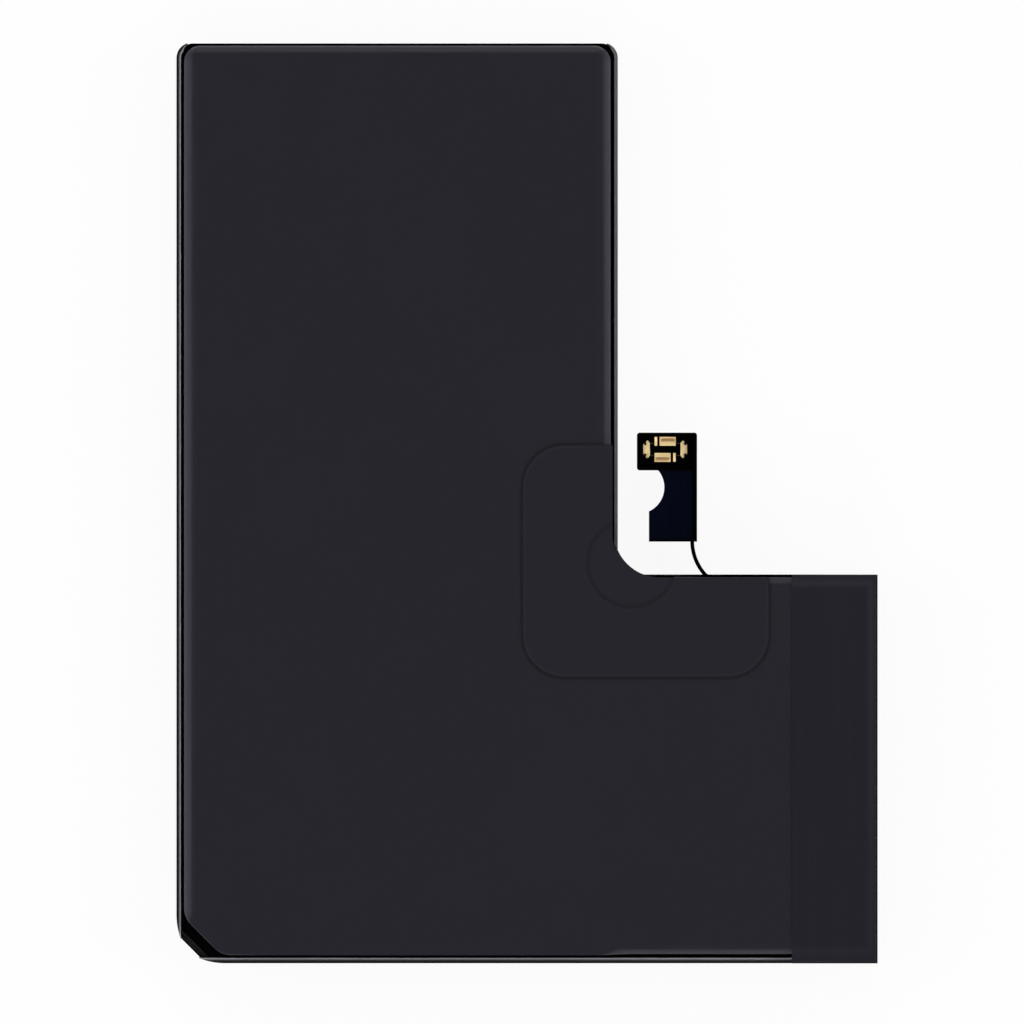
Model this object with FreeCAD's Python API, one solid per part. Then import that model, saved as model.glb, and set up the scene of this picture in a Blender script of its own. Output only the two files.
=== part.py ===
import FreeCAD, Part
import math
import os

# Mobile phone battery: an L-shaped pouch cell with a folded seal flange, a wrapped
# protection board at the end of the foot, and a short folded flex tail with its plug.
# Millimetres. X runs along the foot, Y along the stem, Z up from the flat back sheet.

# Whole battery: the stem's width and how far the foot reaches past it, the foot's size
# along Y and how far the stem reaches past that, and the thickness over the tapes
stem_width = 43.0
foot_reach = 25.3
foot_length = 37.9
stem_reach = 51.8
overall_thickness = 4.9

# Laminate, tape and fold sizes
film_thickness = 0.06
web_height = 0.3
pressed_edge_depth = 0.06
pressed_edge_width = 0.45
terrace_side_clearance = 0.21

# Standing seal flange, folded twice
flange_thickness = 0.43
flange_gap = 0.28
flange_clearance_under_wrap = 0.05
flange_top_flat = 0.09
flange_return_left = 1.15
flange_return_right = 0.9
flange_root_round = 0.24

# Thin flange that lies tight against the wall along the top of the foot
tight_flange_height = 1.5
tight_flange_round = 0.08

# Drawn cup
shoulder_radius = 1.4
corner_wider_than_shoulder = 0.3
recess_edge_wider_than_shoulder = 0.2
fold_lip = 0.2
outline_corner_radius = 1.4
board_bay_length = 6.15

# Bottom left corner, swept in along each side and then cut at 45 degrees
corner_sweep_run = 2.51
corner_sweep_depth = 0.48
corner_cut = 2.87
corner_web_width = 1.5
cut_corner_radius = 2.5

# Inner corner between stem and foot
inner_arc_radius = 4.5
inner_arc_overrun = 0.4
recess_radius = 4.4
recess_from_stem = 1.33
recess_from_foot = 1.12
filler_clearance = 0.05

# Corner patch, a die-cut pad with its edge standing over the shoulder
patch_left_of_stem_edge = 9.3
patch_above_foot_wall = 12.92
patch_right_of_stem_edge = 14.74
patch_below_foot_wall = 9.74
patch_corner_radius = 4.1
patch_edge_depth = 0.6
patch_side_clearance = 0.09
patch_groove_width = 0.26
patch_groove_depth = 0.025

# End wrap and moulded board cover
end_band_width = 8.35
wrap_edge_radius = 1.1
cover_wall = 0.5
cover_gap_to_cup = 0.2
cover_ledge_width = 0.5
cover_slot_clearance = 0.05

# Protection board
board_thickness = 0.4
board_height = 1.25
board_gap_to_cup = 0.45
board_side_clearance = 0.1
board_end_clearance = 0.5
board_foam_width = 1.0

# Cell tabs
tab_width = 5.0
tab_thickness = 0.1
tab_straight = 0.75
tab_gap_to_ledge = 0.86
tab_spacing_share = 0.457
tab_seal_length = 0.6
tab_seal_border = 0.8
tab_seal_thickness = 0.2
weld_plate_thickness = 0.15
weld_plate_length = 2.4
weld_plate_border = 0.3

# Flex tail
flex_thickness = 0.25
flex_bend_radius = 0.12
flex_root_width = 3.0
flex_root_length = 4.6
flex_root_from_cup = 1.2
flex_relief = 0.3
arm_radius = 4.86
arm_bend_radius = 0.6
arm_from_stem = 7.36
arm_base_above_foot = 3.25
wing_width = 4.26
wing_length = 6.93
bite_radius = 2.58
bite_left_of_wing = 1.13
bite_below_head = 1.71
head_left_margin = 0.25
head_right_margin = 0.215
head_top_margin = 0.17
head_bottom_margin = 0.59
head_corner_radius = 0.27
side_pad_thickness = 0.235
stiffener_thickness = 0.2
gasket_thickness = 0.12
gasket_clearance = 0.06

# Plug on the flex tail
plug_corner_radius = 0.22
plug_base_thickness = 0.14
plug_side_margin = 0.2
rail_spacing = 1.56
rail_width = 0.74
rail_height = 0.5
rail_end_margin = 0.32
contact_thickness = 0.08
power_contact_length = 1.66
signal_contact_length = 0.33
contact_gap = 0.17
contact_pocket_inset = 0.15
contact_pocket_width = 0.27
contact_pocket_depth = 0.05
contact_pocket_from_centre = 0.13
hold_down_depth = 0.73
hold_down_length = 1.22
hold_down_inset = 0.18
hold_down_gap = 0.05
hold_down_tip_radius = 0.2
hold_down_tip_setback = 0.47
hold_down_notch_radius = 0.11
plug_lip_width = 0.08

# Components on the board, as length, width and height
fuel_gauge_size = (2.6, 2.2, 0.6)
protection_size = (2.0, 2.0, 0.55)
switch_size = (3.2, 2.4, 0.45)
sense_resistor_size = (3.2, 1.6, 0.5)
thermistor_size = (1.6, 0.8, 0.7)
capacitor_size = (1.0, 0.5, 0.5)
capacitor_pitch = 1.1
capacitor_count = 4
terminal_cap_length = 0.3
chip_edge_chamfer = 0.08

# How far cutting tools run past what they cut, and how near counts as touching
overcut = 1.0
touch = 1e-3

# Places worked out from the sizes above
overall_width = stem_width + foot_reach
overall_length = foot_length + stem_reach
left = -overall_width / 2
right = overall_width / 2
bottom = -overall_length / 2
top = overall_length / 2
stem_right = left + stem_width
foot_top = bottom + foot_length
cup_height = overall_thickness - film_thickness

band_left = right - end_band_width
cup_right_end = right - board_bay_length
cup_corner_radius = shoulder_radius + corner_wider_than_shoulder
recess_edge_radius = shoulder_radius + recess_edge_wider_than_shoulder
cup_left = left + flange_thickness + flange_gap
cup_bottom = bottom + flange_thickness + flange_gap
cup_stem_right = stem_right - flange_thickness - flange_gap
cup_top = top - fold_lip
foot_outer = foot_top - film_thickness
cup_foot_wall = foot_outer - flex_thickness

inner_arc_x = stem_right + inner_arc_radius - inner_arc_overrun
inner_arc_y = cup_foot_wall + inner_arc_radius
inner_arc_drop = math.sqrt(inner_arc_radius ** 2 - (inner_arc_x - stem_right) ** 2)
flange_end_y = inner_arc_y - inner_arc_drop
recess_x = stem_right + recess_from_stem
recess_y = foot_top + recess_from_foot

wrap_inner_right = right - film_thickness
wrap_inner_bottom = bottom + film_thickness
wrap_inner_radius = wrap_edge_radius - film_thickness
flange_height = cup_height - wrap_inner_radius - flange_clearance_under_wrap
flange_inner_round = flange_thickness - flange_top_flat

cover_left = cup_right_end + cover_gap_to_cup
cavity_right = wrap_inner_right - cover_wall
cavity_bottom = wrap_inner_bottom + cover_wall
cavity_top = foot_outer - cover_wall
cavity_ceiling = cup_height - cover_wall
cavity_middle_y = (cavity_bottom + cavity_top) / 2

board_top = board_height + board_thickness
board_left = cup_right_end + board_gap_to_cup
board_right = cavity_right - board_side_clearance
board_bottom = cavity_bottom + board_end_clearance
board_end = cavity_top - board_end_clearance
board_middle_x = (board_left + board_right) / 2

terrace_low = film_thickness
terrace_top = web_height
tab_low = (terrace_low + terrace_top - tab_thickness) / 2
tab_top = tab_low + tab_thickness
weld_plate_low = board_height - weld_plate_thickness
tab_bend_inner = (weld_plate_low - tab_thickness - tab_top) / 2
tab_bend_outer = tab_bend_inner + tab_thickness
tab_bend_x = cavity_right - cover_ledge_width - tab_gap_to_ledge - tab_bend_outer
terrace_right = tab_bend_x - tab_straight
terrace_bottom = cavity_bottom + terrace_side_clearance
terrace_end_top = cavity_top - terrace_side_clearance
tab_spacing = (cavity_top - cavity_bottom) * tab_spacing_share
positive_tab_y = cavity_middle_y + tab_spacing / 2
negative_tab_y = cavity_middle_y - tab_spacing / 2
weld_plate_left = board_left + board_foam_width + board_side_clearance

flex_low = board_top
flex_top = flex_low + flex_thickness
flex_bend_outer = flex_bend_radius + flex_thickness
flex_upright_low = flex_low + flex_bend_outer
flex_wall_middle = foot_outer - flex_thickness / 2
flex_root_left = cup_right_end + flex_root_from_cup
flex_root_right = flex_root_left + flex_root_width
row_length = power_contact_length + contact_gap + signal_contact_length
rail_length = row_length + 2 * rail_end_margin
rail_outer_width = rail_spacing + rail_width + 2 * contact_thickness
hold_down_span = hold_down_gap + hold_down_depth + hold_down_inset
plug_length = rail_length + 2 * hold_down_span
plug_width = rail_outer_width + 2 * plug_side_margin

arm_x = stem_right + arm_from_stem
arm_centre_x = arm_x + arm_radius
arm_base_y = foot_top + arm_base_above_foot
arm_left_face = arm_x - flex_thickness / 2
arm_right_face = arm_x + flex_thickness / 2
wing_fold_x = arm_right_face - flex_bend_outer
wing_left = arm_x - wing_width
head_bottom = arm_base_y + wing_length
head_right = arm_right_face + side_pad_thickness
plug_x = wing_fold_x - head_right_margin - plug_length / 2
plug_y = head_bottom + head_bottom_margin + plug_width / 2
head_top = plug_y + plug_width / 2 + head_top_margin
head_left = plug_x - plug_length / 2 - head_left_margin
bite_x = wing_left - bite_left_of_wing
bite_y = head_bottom - bite_below_head
plug_base_top = flex_top + plug_base_thickness
rail_top = flex_top + rail_height


def point(x, y, z=0.0):
    return FreeCAD.Vector(x, y, z)


def block(x_low, x_high, y_low, y_high, z_low, z_high):
    return Part.makeBox(x_high - x_low, y_high - y_low, z_high - z_low, point(x_low, y_low, z_low))


def centred_block(middle_x, middle_y, span_x, span_y, z_low, z_high):
    return block(
        middle_x - span_x / 2,
        middle_x + span_x / 2,
        middle_y - span_y / 2,
        middle_y + span_y / 2,
        z_low,
        z_high,
    )


def post(x, y, radius, z_low, z_high):
    return Part.makeCylinder(radius, z_high - z_low, point(x, y, z_low))


def prism(edges, z_low, z_high):
    face = Part.Face(Part.Wire(edges))
    face.translate(point(0, 0, z_low))
    return face.extrude(point(0, 0, z_high - z_low))


# Edges of a closed outline. Each corner is (x, y, radius), and a radius of 0 stays sharp.
def outline_edges(corners):
    starts = []
    middles = []
    ends = []
    for index, (x, y, radius) in enumerate(corners):
        here = point(x, y)
        before = corners[index - 1]
        after = corners[(index + 1) % len(corners)]
        to_before = (point(before[0], before[1]) - here).normalize()
        to_after = (point(after[0], after[1]) - here).normalize()
        half_angle = to_before.getAngle(to_after) / 2
        reach = radius / math.tan(half_angle)
        starts.append(here + to_before * reach)
        ends.append(here + to_after * reach)
        bisector = (to_before + to_after).normalize()
        middles.append(here + bisector * (radius / math.sin(half_angle) - radius))
    edges = []
    for index, (x, y, radius) in enumerate(corners):
        if radius > 0:
            edges.append(Part.Arc(starts[index], middles[index], ends[index]).toShape())
        next_start = starts[(index + 1) % len(corners)]
        edges.append(Part.LineSegment(ends[index], next_start).toShape())
    return edges


def slab(corners, z_low, z_high):
    return prism(outline_edges(corners), z_low, z_high)


def box_corners(x_low, x_high, y_low, y_high, radius):
    return [
        (x_low, y_low, radius),
        (x_high, y_low, radius),
        (x_high, y_high, radius),
        (x_low, y_high, radius),
    ]


def level_edges(shape, height):
    found = []
    for edge in shape.Edges:
        box = edge.BoundBox
        if abs(box.ZMin - height) < touch and abs(box.ZMax - height) < touch:
            found.append(edge)
    return found


def middle_of(edge):
    return edge.valueAt((edge.FirstParameter + edge.LastParameter) / 2)


def upright_edges(shape, x, y, reach):
    found = []
    for edge in shape.Edges:
        box = edge.BoundBox
        upright = box.ZLength > touch and box.XLength < touch and box.YLength < touch
        if upright and math.hypot(box.Center.x - x, box.Center.y - y) < reach:
            found.append(edge)
    return found


# Plan of the laminate: sides, rounded top corners, arc in the inner corner, and the
# bottom left corner that sweeps in before it is cut.
def pouch_outline():
    near = corner_sweep_depth
    far = corner_cut - near
    sweep_start = far + corner_sweep_run
    sweep_radius = (corner_sweep_run ** 2 + near ** 2) / (2 * near)
    sweep_half = math.asin(corner_sweep_run / sweep_radius) / 2
    sweep_in = sweep_radius * (1 - math.cos(sweep_half))
    sweep_along = sweep_start - sweep_radius * math.sin(sweep_half)
    top_round = outline_corner_radius
    half_chord = top_round * (1 - math.sqrt(0.5))
    arc_start = point(stem_right, flange_end_y)
    arc_run = math.sqrt(inner_arc_radius ** 2 - (inner_arc_y - foot_outer) ** 2)
    arc_end = point(inner_arc_x - arc_run, foot_outer)
    arc_chord = (arc_start + arc_end) * 0.5 - point(inner_arc_x, inner_arc_y)
    arc_middle = point(inner_arc_x, inner_arc_y) + arc_chord.normalize() * inner_arc_radius

    lower_cut = point(left + far, bottom + near)
    upper_cut = point(left + near, bottom + far)
    sweep_foot = point(left + sweep_start, bottom)
    sweep_side = point(left, bottom + sweep_start)
    end_foot = point(cup_right_end, bottom)
    end_head = point(cup_right_end, foot_outer)
    right_start = point(stem_right, top - top_round)
    right_end = point(stem_right - top_round, top)
    left_start = point(left + top_round, top)
    left_end = point(left, top - top_round)
    right_middle = point(stem_right - half_chord, top - half_chord)
    left_middle = point(left + half_chord, top - half_chord)
    foot_middle = point(left + sweep_along, bottom + sweep_in)
    side_middle = point(left + sweep_in, bottom + sweep_along)
    return [
        Part.LineSegment(sweep_foot, end_foot).toShape(),
        Part.LineSegment(end_foot, end_head).toShape(),
        Part.LineSegment(end_head, arc_end).toShape(),
        Part.Arc(arc_end, arc_middle, arc_start).toShape(),
        Part.LineSegment(arc_start, right_start).toShape(),
        Part.Arc(right_start, right_middle, right_end).toShape(),
        Part.LineSegment(right_end, left_start).toShape(),
        Part.Arc(left_start, left_middle, left_end).toShape(),
        Part.LineSegment(left_end, sweep_side).toShape(),
        Part.Arc(sweep_side, side_middle, upper_cut).toShape(),
        Part.LineSegment(upper_cut, lower_cut).toShape(),
        Part.Arc(lower_cut, foot_middle, sweep_foot).toShape(),
    ]


# The drawn cup: a flat face, rounded shoulders, and a round recess in the inner corner
def make_cup():
    cut_leg = corner_cut + corner_web_width * math.sqrt(2)
    corners = [
        (left + cut_leg - (cup_bottom - bottom), cup_bottom, cut_corner_radius),
        (cup_right_end, cup_bottom, cup_corner_radius),
        (cup_right_end, cup_foot_wall, cup_corner_radius),
        (cup_stem_right, cup_foot_wall, 0),
        (cup_stem_right, cup_top, cup_corner_radius),
        (cup_left, cup_top, cup_corner_radius),
        (cup_left, bottom + cut_leg - (cup_left - left), cut_corner_radius),
    ]
    cup = slab(corners, 0, cup_height)
    recess = post(recess_x, recess_y, recess_radius, 0, cup_height)
    cup = cup.cut(recess)
    cut_above = math.sqrt(recess_radius ** 2 - (recess_x - cup_stem_right) ** 2)
    cut_beside = math.sqrt(recess_radius ** 2 - (recess_y - cup_foot_wall) ** 2)
    edges = upright_edges(cup, cup_stem_right, recess_y + cut_above, flange_gap)
    edges += upright_edges(cup, recess_x + cut_beside, cup_foot_wall, flange_gap)
    cup = cup.makeFillet(recess_edge_radius, edges)
    return cup.makeFillet(shoulder_radius, level_edges(cup, cup_height))


# The standing flange, whose top rolls over towards the cup
def make_standing_flange():
    inner_round = outline_corner_radius - flange_thickness
    flange = prism(pouch_outline(), 0, flange_height)
    inside = slab(
        [
            (left + flange_thickness, bottom + flange_thickness, 0),
            (cup_right_end + overcut, bottom + flange_thickness, 0),
            (cup_right_end + overcut, flange_end_y, 0),
            (stem_right - flange_thickness, flange_end_y, 0),
            (stem_right - flange_thickness, top - flange_thickness, inner_round),
            (left + flange_thickness, top - flange_thickness, inner_round),
        ],
        0,
        flange_height,
    )
    over_the_fold = block(
        left + flange_return_left,
        stem_right - flange_return_right,
        top - outline_corner_radius,
        top + overcut,
        0,
        flange_height,
    )
    below_the_arc = block(
        stem_right - flange_thickness,
        cup_right_end + overcut,
        bottom + flange_thickness,
        flange_end_y,
        0,
        flange_height,
    )
    flange = flange.cut(inside).cut(over_the_fold).cut(below_the_arc)
    rounded = []
    for leaf in flange.Solids:
        inner_edges = []
        for edge in level_edges(leaf, flange_height):
            middle = middle_of(edge)
            on_left = abs(middle.x - left - flange_thickness) < touch
            on_bottom = abs(middle.y - bottom - flange_thickness) < touch
            on_stem = abs(stem_right - flange_thickness - middle.x) < touch
            if edge.Length > flange_thickness and (on_left or on_bottom or on_stem):
                inner_edges.append(edge)
        rounded.append(leaf.makeFillet(flange_inner_round, inner_edges))
    return rounded


# The flat sealed sheet under the cup and out to the folds, pressed thinner along the
# 45 degree cut, with the terrace that carries the tabs at the end of the foot
def make_sheet():
    sheet = prism(pouch_outline(), 0, web_height)
    folded = []
    for edge in level_edges(sheet, 0):
        middle = middle_of(edge)
        on_left = abs(middle.x - left) < touch
        on_bottom = abs(middle.y - bottom) < touch
        on_stem = abs(middle.x - stem_right) < touch
        if on_left or on_bottom or on_stem:
            folded.append(edge)
    sheet = sheet.makeFillet(flange_root_round, folded)
    diagonal = corner_cut + pressed_edge_width * math.sqrt(2)
    press = slab(
        [(left, bottom, 0), (left + diagonal, bottom, 0), (left, bottom + diagonal, 0)],
        web_height - pressed_edge_depth,
        web_height,
    )
    sheet = sheet.cut(press)
    terrace = block(
        cup_right_end, terrace_right, terrace_bottom, terrace_end_top, terrace_low, terrace_top
    )
    return sheet.fuse(terrace)


# The flange along the top of the foot lies flat against the wall of the cup
def make_tight_flange():
    height = tight_flange_height
    strip = block(inner_arc_x, cup_right_end, cup_foot_wall, foot_outer, 0, height)
    tip = block(inner_arc_x - inner_arc_radius, inner_arc_x, cup_foot_wall, foot_outer, 0, height)
    tip = tip.common(post(inner_arc_x, inner_arc_y, inner_arc_radius, 0, height))
    strip = strip.fuse(tip).removeSplitter()
    outer = []
    for edge in level_edges(strip, tight_flange_height):
        if abs(middle_of(edge).y - foot_outer) < touch:
            outer.append(edge)
    return strip.makeFillet(tight_flange_round, outer)


# The filled cell: one sealed pouch of coated laminate
def make_pouch_cell():
    pieces = [make_sheet(), make_tight_flange()] + make_standing_flange()
    pouch = make_cup().multiFuse(pieces).removeSplitter()
    return pouch.cut(wrap_outer_block())


# Space that the end wrap's film takes along the outside of the foot
def wrap_outer_block():
    return block(
        band_left, right, bottom - overcut, wrap_inner_bottom, -overcut, overall_thickness + overcut
    )


# Rounded block from x_low to the right end, inset from the outer faces by a film
def end_block(x_low, inset, edge_radius, z_low, z_high):
    body = block(x_low, right - inset, bottom + inset, foot_top - inset, z_low, z_high)
    edges = []
    for edge in level_edges(body, z_high):
        if abs(edge.BoundBox.XMin - x_low) > touch or edge.BoundBox.XLength > touch:
            edges.append(edge)
    return body.makeFillet(edge_radius, edges)


# Tape folded round the end of the foot: top, two sides, end, and a panel under the terrace
def make_end_wrap():
    outer = end_block(band_left, 0, wrap_edge_radius, 0, overall_thickness)
    inner = end_block(
        band_left - overcut, film_thickness, wrap_inner_radius, film_thickness, cup_height
    )
    below_cup = block(
        band_left - overcut, cup_right_end, wrap_inner_bottom, foot_outer, 0, film_thickness
    )
    return outer.cut(inner).cut(below_cup)


# Moulded cover over the board, open towards the cup and underneath
def make_board_cover():
    cover = end_block(cover_left, film_thickness, wrap_inner_radius, film_thickness, cup_height)
    cavity = block(
        cover_left, cavity_right, cavity_bottom, cavity_top, film_thickness, cavity_ceiling
    )
    ledge = block(
        cavity_right - cover_ledge_width, cavity_right, cavity_bottom, cavity_top,
        film_thickness, board_height,
    )
    slot = block(
        cover_left,
        flex_root_right + cover_slot_clearance,
        cavity_top,
        foot_outer,
        flex_low - cover_slot_clearance,
        flange_height + cover_slot_clearance,
    )
    return cover.cut(cavity).fuse(ledge).cut(slot).removeSplitter()


# Region of the body that the corner patch can cover, inside the standing flange and
# the wall of the foot, and out to the arc in the inner corner
def patch_ground(z_low, z_high):
    edge_x = stem_right - flange_thickness - patch_side_clearance
    stem = block(left, edge_x, bottom, top, z_low, z_high)
    foot = block(left, band_left, bottom, cup_foot_wall, z_low, z_high)
    corner = block(edge_x, inner_arc_x, cup_foot_wall, flange_end_y, z_low, z_high)
    corner = corner.cut(post(inner_arc_x, inner_arc_y, inner_arc_radius, z_low, z_high))
    return stem.multiFuse([foot, corner]).removeSplitter()


# Soft block that fills the round recess under the patch
def make_corner_filler():
    low = web_height
    high = overall_thickness - patch_edge_depth
    plug = post(recess_x, recess_y, recess_radius - filler_clearance, low, high)
    return plug.common(patch_ground(low, high)).removeSplitter()


# Die-cut patch over the inner corner, with a pressed ring over the recess
def make_corner_patch():
    low = overall_thickness - patch_edge_depth
    patch = slab(
        box_corners(
            stem_right - patch_left_of_stem_edge,
            stem_right + patch_right_of_stem_edge,
            cup_foot_wall - patch_below_foot_wall,
            cup_foot_wall + patch_above_foot_wall,
            patch_corner_radius,
        ),
        low,
        overall_thickness,
    )
    patch = patch.common(patch_ground(low, overall_thickness)).cut(make_cup())
    groove_floor = overall_thickness - patch_groove_depth
    ring = post(recess_x, recess_y, recess_radius, groove_floor, overall_thickness)
    ring = ring.cut(
        post(recess_x, recess_y, recess_radius - patch_groove_width, groove_floor, overall_thickness)
    )
    return patch.cut(ring).removeSplitter()


def make_terrace_tape():
    return block(
        cover_left, terrace_right, terrace_bottom, terrace_end_top,
        terrace_top, terrace_top + film_thickness,
    )


def make_board_foam():
    return block(
        board_left,
        board_left + board_foam_width,
        terrace_bottom,
        terrace_end_top,
        terrace_top + film_thickness,
        board_height,
    )


def make_circuit_board():
    return block(board_left, board_right, board_bottom, board_end, board_height, board_top)


# Flat metal lead that leaves the seal, turns back on itself and ends under the board
def make_tab(middle_y):
    low_y = middle_y - tab_width / 2
    high_y = middle_y + tab_width / 2
    bend_z = tab_top + tab_bend_inner
    lower = block(terrace_right, tab_bend_x, low_y, high_y, tab_low, tab_top)
    upper = block(
        weld_plate_left, tab_bend_x, low_y, high_y, weld_plate_low - tab_thickness, weld_plate_low
    )
    axis = point(0, 1, 0)
    base = point(tab_bend_x, low_y, bend_z)
    bend = Part.makeCylinder(tab_bend_outer, tab_width, base, axis)
    bend = bend.cut(Part.makeCylinder(tab_bend_inner, tab_width, base, axis))
    right_half = block(
        tab_bend_x, tab_bend_x + tab_bend_outer, low_y, high_y, tab_low, weld_plate_low
    )
    return lower.multiFuse([upper, bend.common(right_half)]).removeSplitter()


# Sealing film round a lead where it leaves the laminate
def make_tab_seal(middle_y):
    half = tab_width / 2 + tab_seal_border
    middle_z = (tab_low + tab_top) / 2
    film = block(
        terrace_right,
        terrace_right + tab_seal_length,
        middle_y - half,
        middle_y + half,
        middle_z - tab_seal_thickness / 2,
        middle_z + tab_seal_thickness / 2,
    )
    return film.cut(make_tab(middle_y))


def make_weld_plate(middle_y):
    half = tab_width / 2 + weld_plate_border
    return block(
        weld_plate_left,
        weld_plate_left + weld_plate_length,
        middle_y - half,
        middle_y + half,
        weld_plate_low,
        board_height,
    )


# Middles of the components along Y. They stand in one row with even gaps, from the end
# of the flex tail down to the far end of the board.
def component_places():
    row = [
        ("fuel_gauge_chip", fuel_gauge_size[0]),
        ("protection_chip", protection_size[0]),
        ("charge_switch", switch_size[0]),
        ("discharge_switch", switch_size[0]),
        ("sense_resistor", sense_resistor_size[0]),
        ("chip_capacitors", capacitor_size[0]),
        ("thermistor", thermistor_size[1]),
    ]
    row_top = foot_outer - flex_root_length
    taken = sum(length for name, length in row)
    gap = (row_top - board_bottom - taken) / (len(row) + 1)
    places = {}
    reached = row_top
    for name, length in row:
        places[name] = reached - gap - length / 2
        reached -= gap + length
    return places


# Moulded chip on the board with softened top edges
def make_chip(size, middle_y):
    length, width, height = size
    chip = centred_block(board_middle_x, middle_y, width, length, board_top, board_top + height)
    return chip.makeChamfer(chip_edge_chamfer, level_edges(chip, board_top + height))


# Component with a metal cap at each end and a slightly lower middle. Its length lies
# along Y, or along X when it is turned.
def make_capped(size, middle_x, middle_y, turned):
    length, width, height = size
    body_width = width - chip_edge_chamfer
    body_top = board_top + height - chip_edge_chamfer
    body_length = length - 2 * terminal_cap_length
    body = centred_block(0, 0, body_width, body_length, board_top, body_top)
    caps = []
    for side in (-1, 1):
        cap_y = side * (length - terminal_cap_length) / 2
        caps.append(centred_block(0, cap_y, width, terminal_cap_length, board_top, board_top + height))
    part = body.multiFuse(caps).removeSplitter()
    if turned:
        part.rotate(point(0, 0), point(0, 0, 1), 90)
    part.translate(point(middle_x, middle_y))
    return part


def make_capacitors(middle_y):
    parts = []
    for index in range(capacitor_count):
        offset = (index - (capacitor_count - 1) / 2) * capacitor_pitch
        parts.append(make_capped(capacitor_size, board_middle_x + offset, middle_y, False))
    return Part.makeCompound(parts)


# One side of the bent ribbon, as points from the board to the foot of the arm. The ribbon
# leaves the wall in a tight bend that runs into the wide one.
def ribbon_side(start_x, offset):
    rise = arm_base_y - flex_wall_middle - arm_bend_radius
    slope = math.asin(rise / (arm_radius - arm_bend_radius))
    bend_x = arm_centre_x - (arm_radius - arm_bend_radius) * math.cos(slope)
    tight_centre = point(bend_x, flex_wall_middle + arm_bend_radius)
    wide_centre = point(arm_centre_x, arm_base_y)
    down = -math.pi / 2
    west = -math.pi
    meeting = west + slope

    def on_arc(centre, radius, direction):
        reach = radius + offset
        return centre + point(reach * math.cos(direction), reach * math.sin(direction))

    return [
        point(start_x, flex_wall_middle - offset),
        on_arc(tight_centre, arm_bend_radius, down),
        on_arc(tight_centre, arm_bend_radius, (down + meeting) / 2),
        on_arc(tight_centre, arm_bend_radius, meeting),
        on_arc(wide_centre, arm_radius, (meeting + west) / 2),
        on_arc(wide_centre, arm_radius, west),
    ]


def make_ribbon(start_x):
    outer = ribbon_side(start_x, flex_thickness / 2)
    inner = ribbon_side(start_x, -flex_thickness / 2)
    edges = []
    for side in (outer, inner):
        edges.append(Part.LineSegment(side[0], side[1]).toShape())
        edges.append(Part.Arc(side[1], side[2], side[3]).toShape())
        edges.append(Part.Arc(side[3], side[4], side[5]).toShape())
    edges.append(Part.LineSegment(outer[0], inner[0]).toShape())
    edges.append(Part.LineSegment(outer[5], inner[5]).toShape())
    wire = Part.Wire(Part.__sortEdges__(edges))
    face = Part.Face(wire)
    face.translate(point(0, 0, flex_low))
    return face.extrude(point(0, 0, flange_height - flex_low))


# Quarter-round fold of the flex, cut from a full ring by the box that bounds it
def make_fold(axis_start, axis, length, bounds):
    ring = Part.makeCylinder(flex_bend_outer, length, axis_start, axis)
    ring = ring.cut(Part.makeCylinder(flex_bend_radius, length, axis_start, axis))
    return ring.common(bounds)


# Flat end of the flex on the board, folded up into the wall ribbon
def make_flex_root():
    fold_y = foot_outer - flex_bend_outer
    pad = block(
        flex_root_left, flex_root_right, foot_outer - flex_root_length, fold_y, flex_low, flex_top
    )
    fold = make_fold(
        point(flex_root_left, fold_y, flex_upright_low),
        point(1, 0, 0),
        flex_root_width,
        block(flex_root_left, flex_root_right, fold_y, foot_outer, flex_low, flex_upright_low),
    )
    upright = block(
        flex_root_left - flex_relief,
        flex_root_right,
        foot_outer - flex_thickness,
        foot_outer,
        flex_upright_low,
        flange_height,
    )
    return pad.multiFuse([fold, upright])


# Flat wing with its round bite and the head that carries the plug, folded along the arm
def make_flex_wing():
    wing = block(wing_left, wing_fold_x, arm_base_y, head_bottom, flex_low, flex_top)
    wing = wing.cut(post(bite_x, bite_y, bite_radius, flex_low, flex_top))
    head = slab(
        [
            (head_left, head_bottom, head_corner_radius),
            (wing_fold_x, head_bottom, 0),
            (wing_fold_x, head_top, 0),
            (head_left, head_top, head_corner_radius),
        ],
        flex_low,
        flex_top,
    )
    fold = make_fold(
        point(wing_fold_x, arm_base_y, flex_upright_low),
        point(0, 1, 0),
        head_top - arm_base_y,
        block(wing_fold_x, arm_right_face, arm_base_y, head_top, flex_low, flex_upright_low),
    )
    upright = block(
        arm_left_face, arm_right_face, arm_base_y, head_top, flex_upright_low, flange_height
    )
    return wing.multiFuse([head, fold, upright])


def make_flex_cable():
    ribbon = make_ribbon(flex_root_left - flex_relief)
    return ribbon.multiFuse([make_flex_root(), make_flex_wing()]).removeSplitter()


def make_flex_side_pad():
    return block(arm_right_face, head_right, arm_base_y, head_top, flex_low, flange_height)


def make_plug_stiffener():
    corners = box_corners(head_left, head_right, head_bottom, head_top, head_corner_radius)
    return slab(corners, flex_low - stiffener_thickness, flex_low)


def make_plug_gasket():
    low = flex_top
    high = flex_top + gasket_thickness
    gasket = slab(
        [
            (head_left, head_bottom, head_corner_radius),
            (wing_fold_x, head_bottom, 0),
            (wing_fold_x, head_top, 0),
            (head_left, head_top, head_corner_radius),
        ],
        low,
        high,
    )
    opening_x = plug_length / 2 + gasket_clearance
    opening_y = plug_width / 2 + gasket_clearance
    opening = slab(
        box_corners(
            plug_x - opening_x, plug_x + opening_x, plug_y - opening_y, plug_y + opening_y,
            plug_corner_radius + gasket_clearance,
        ),
        low,
        high,
    )
    return gasket.cut(opening)


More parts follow.
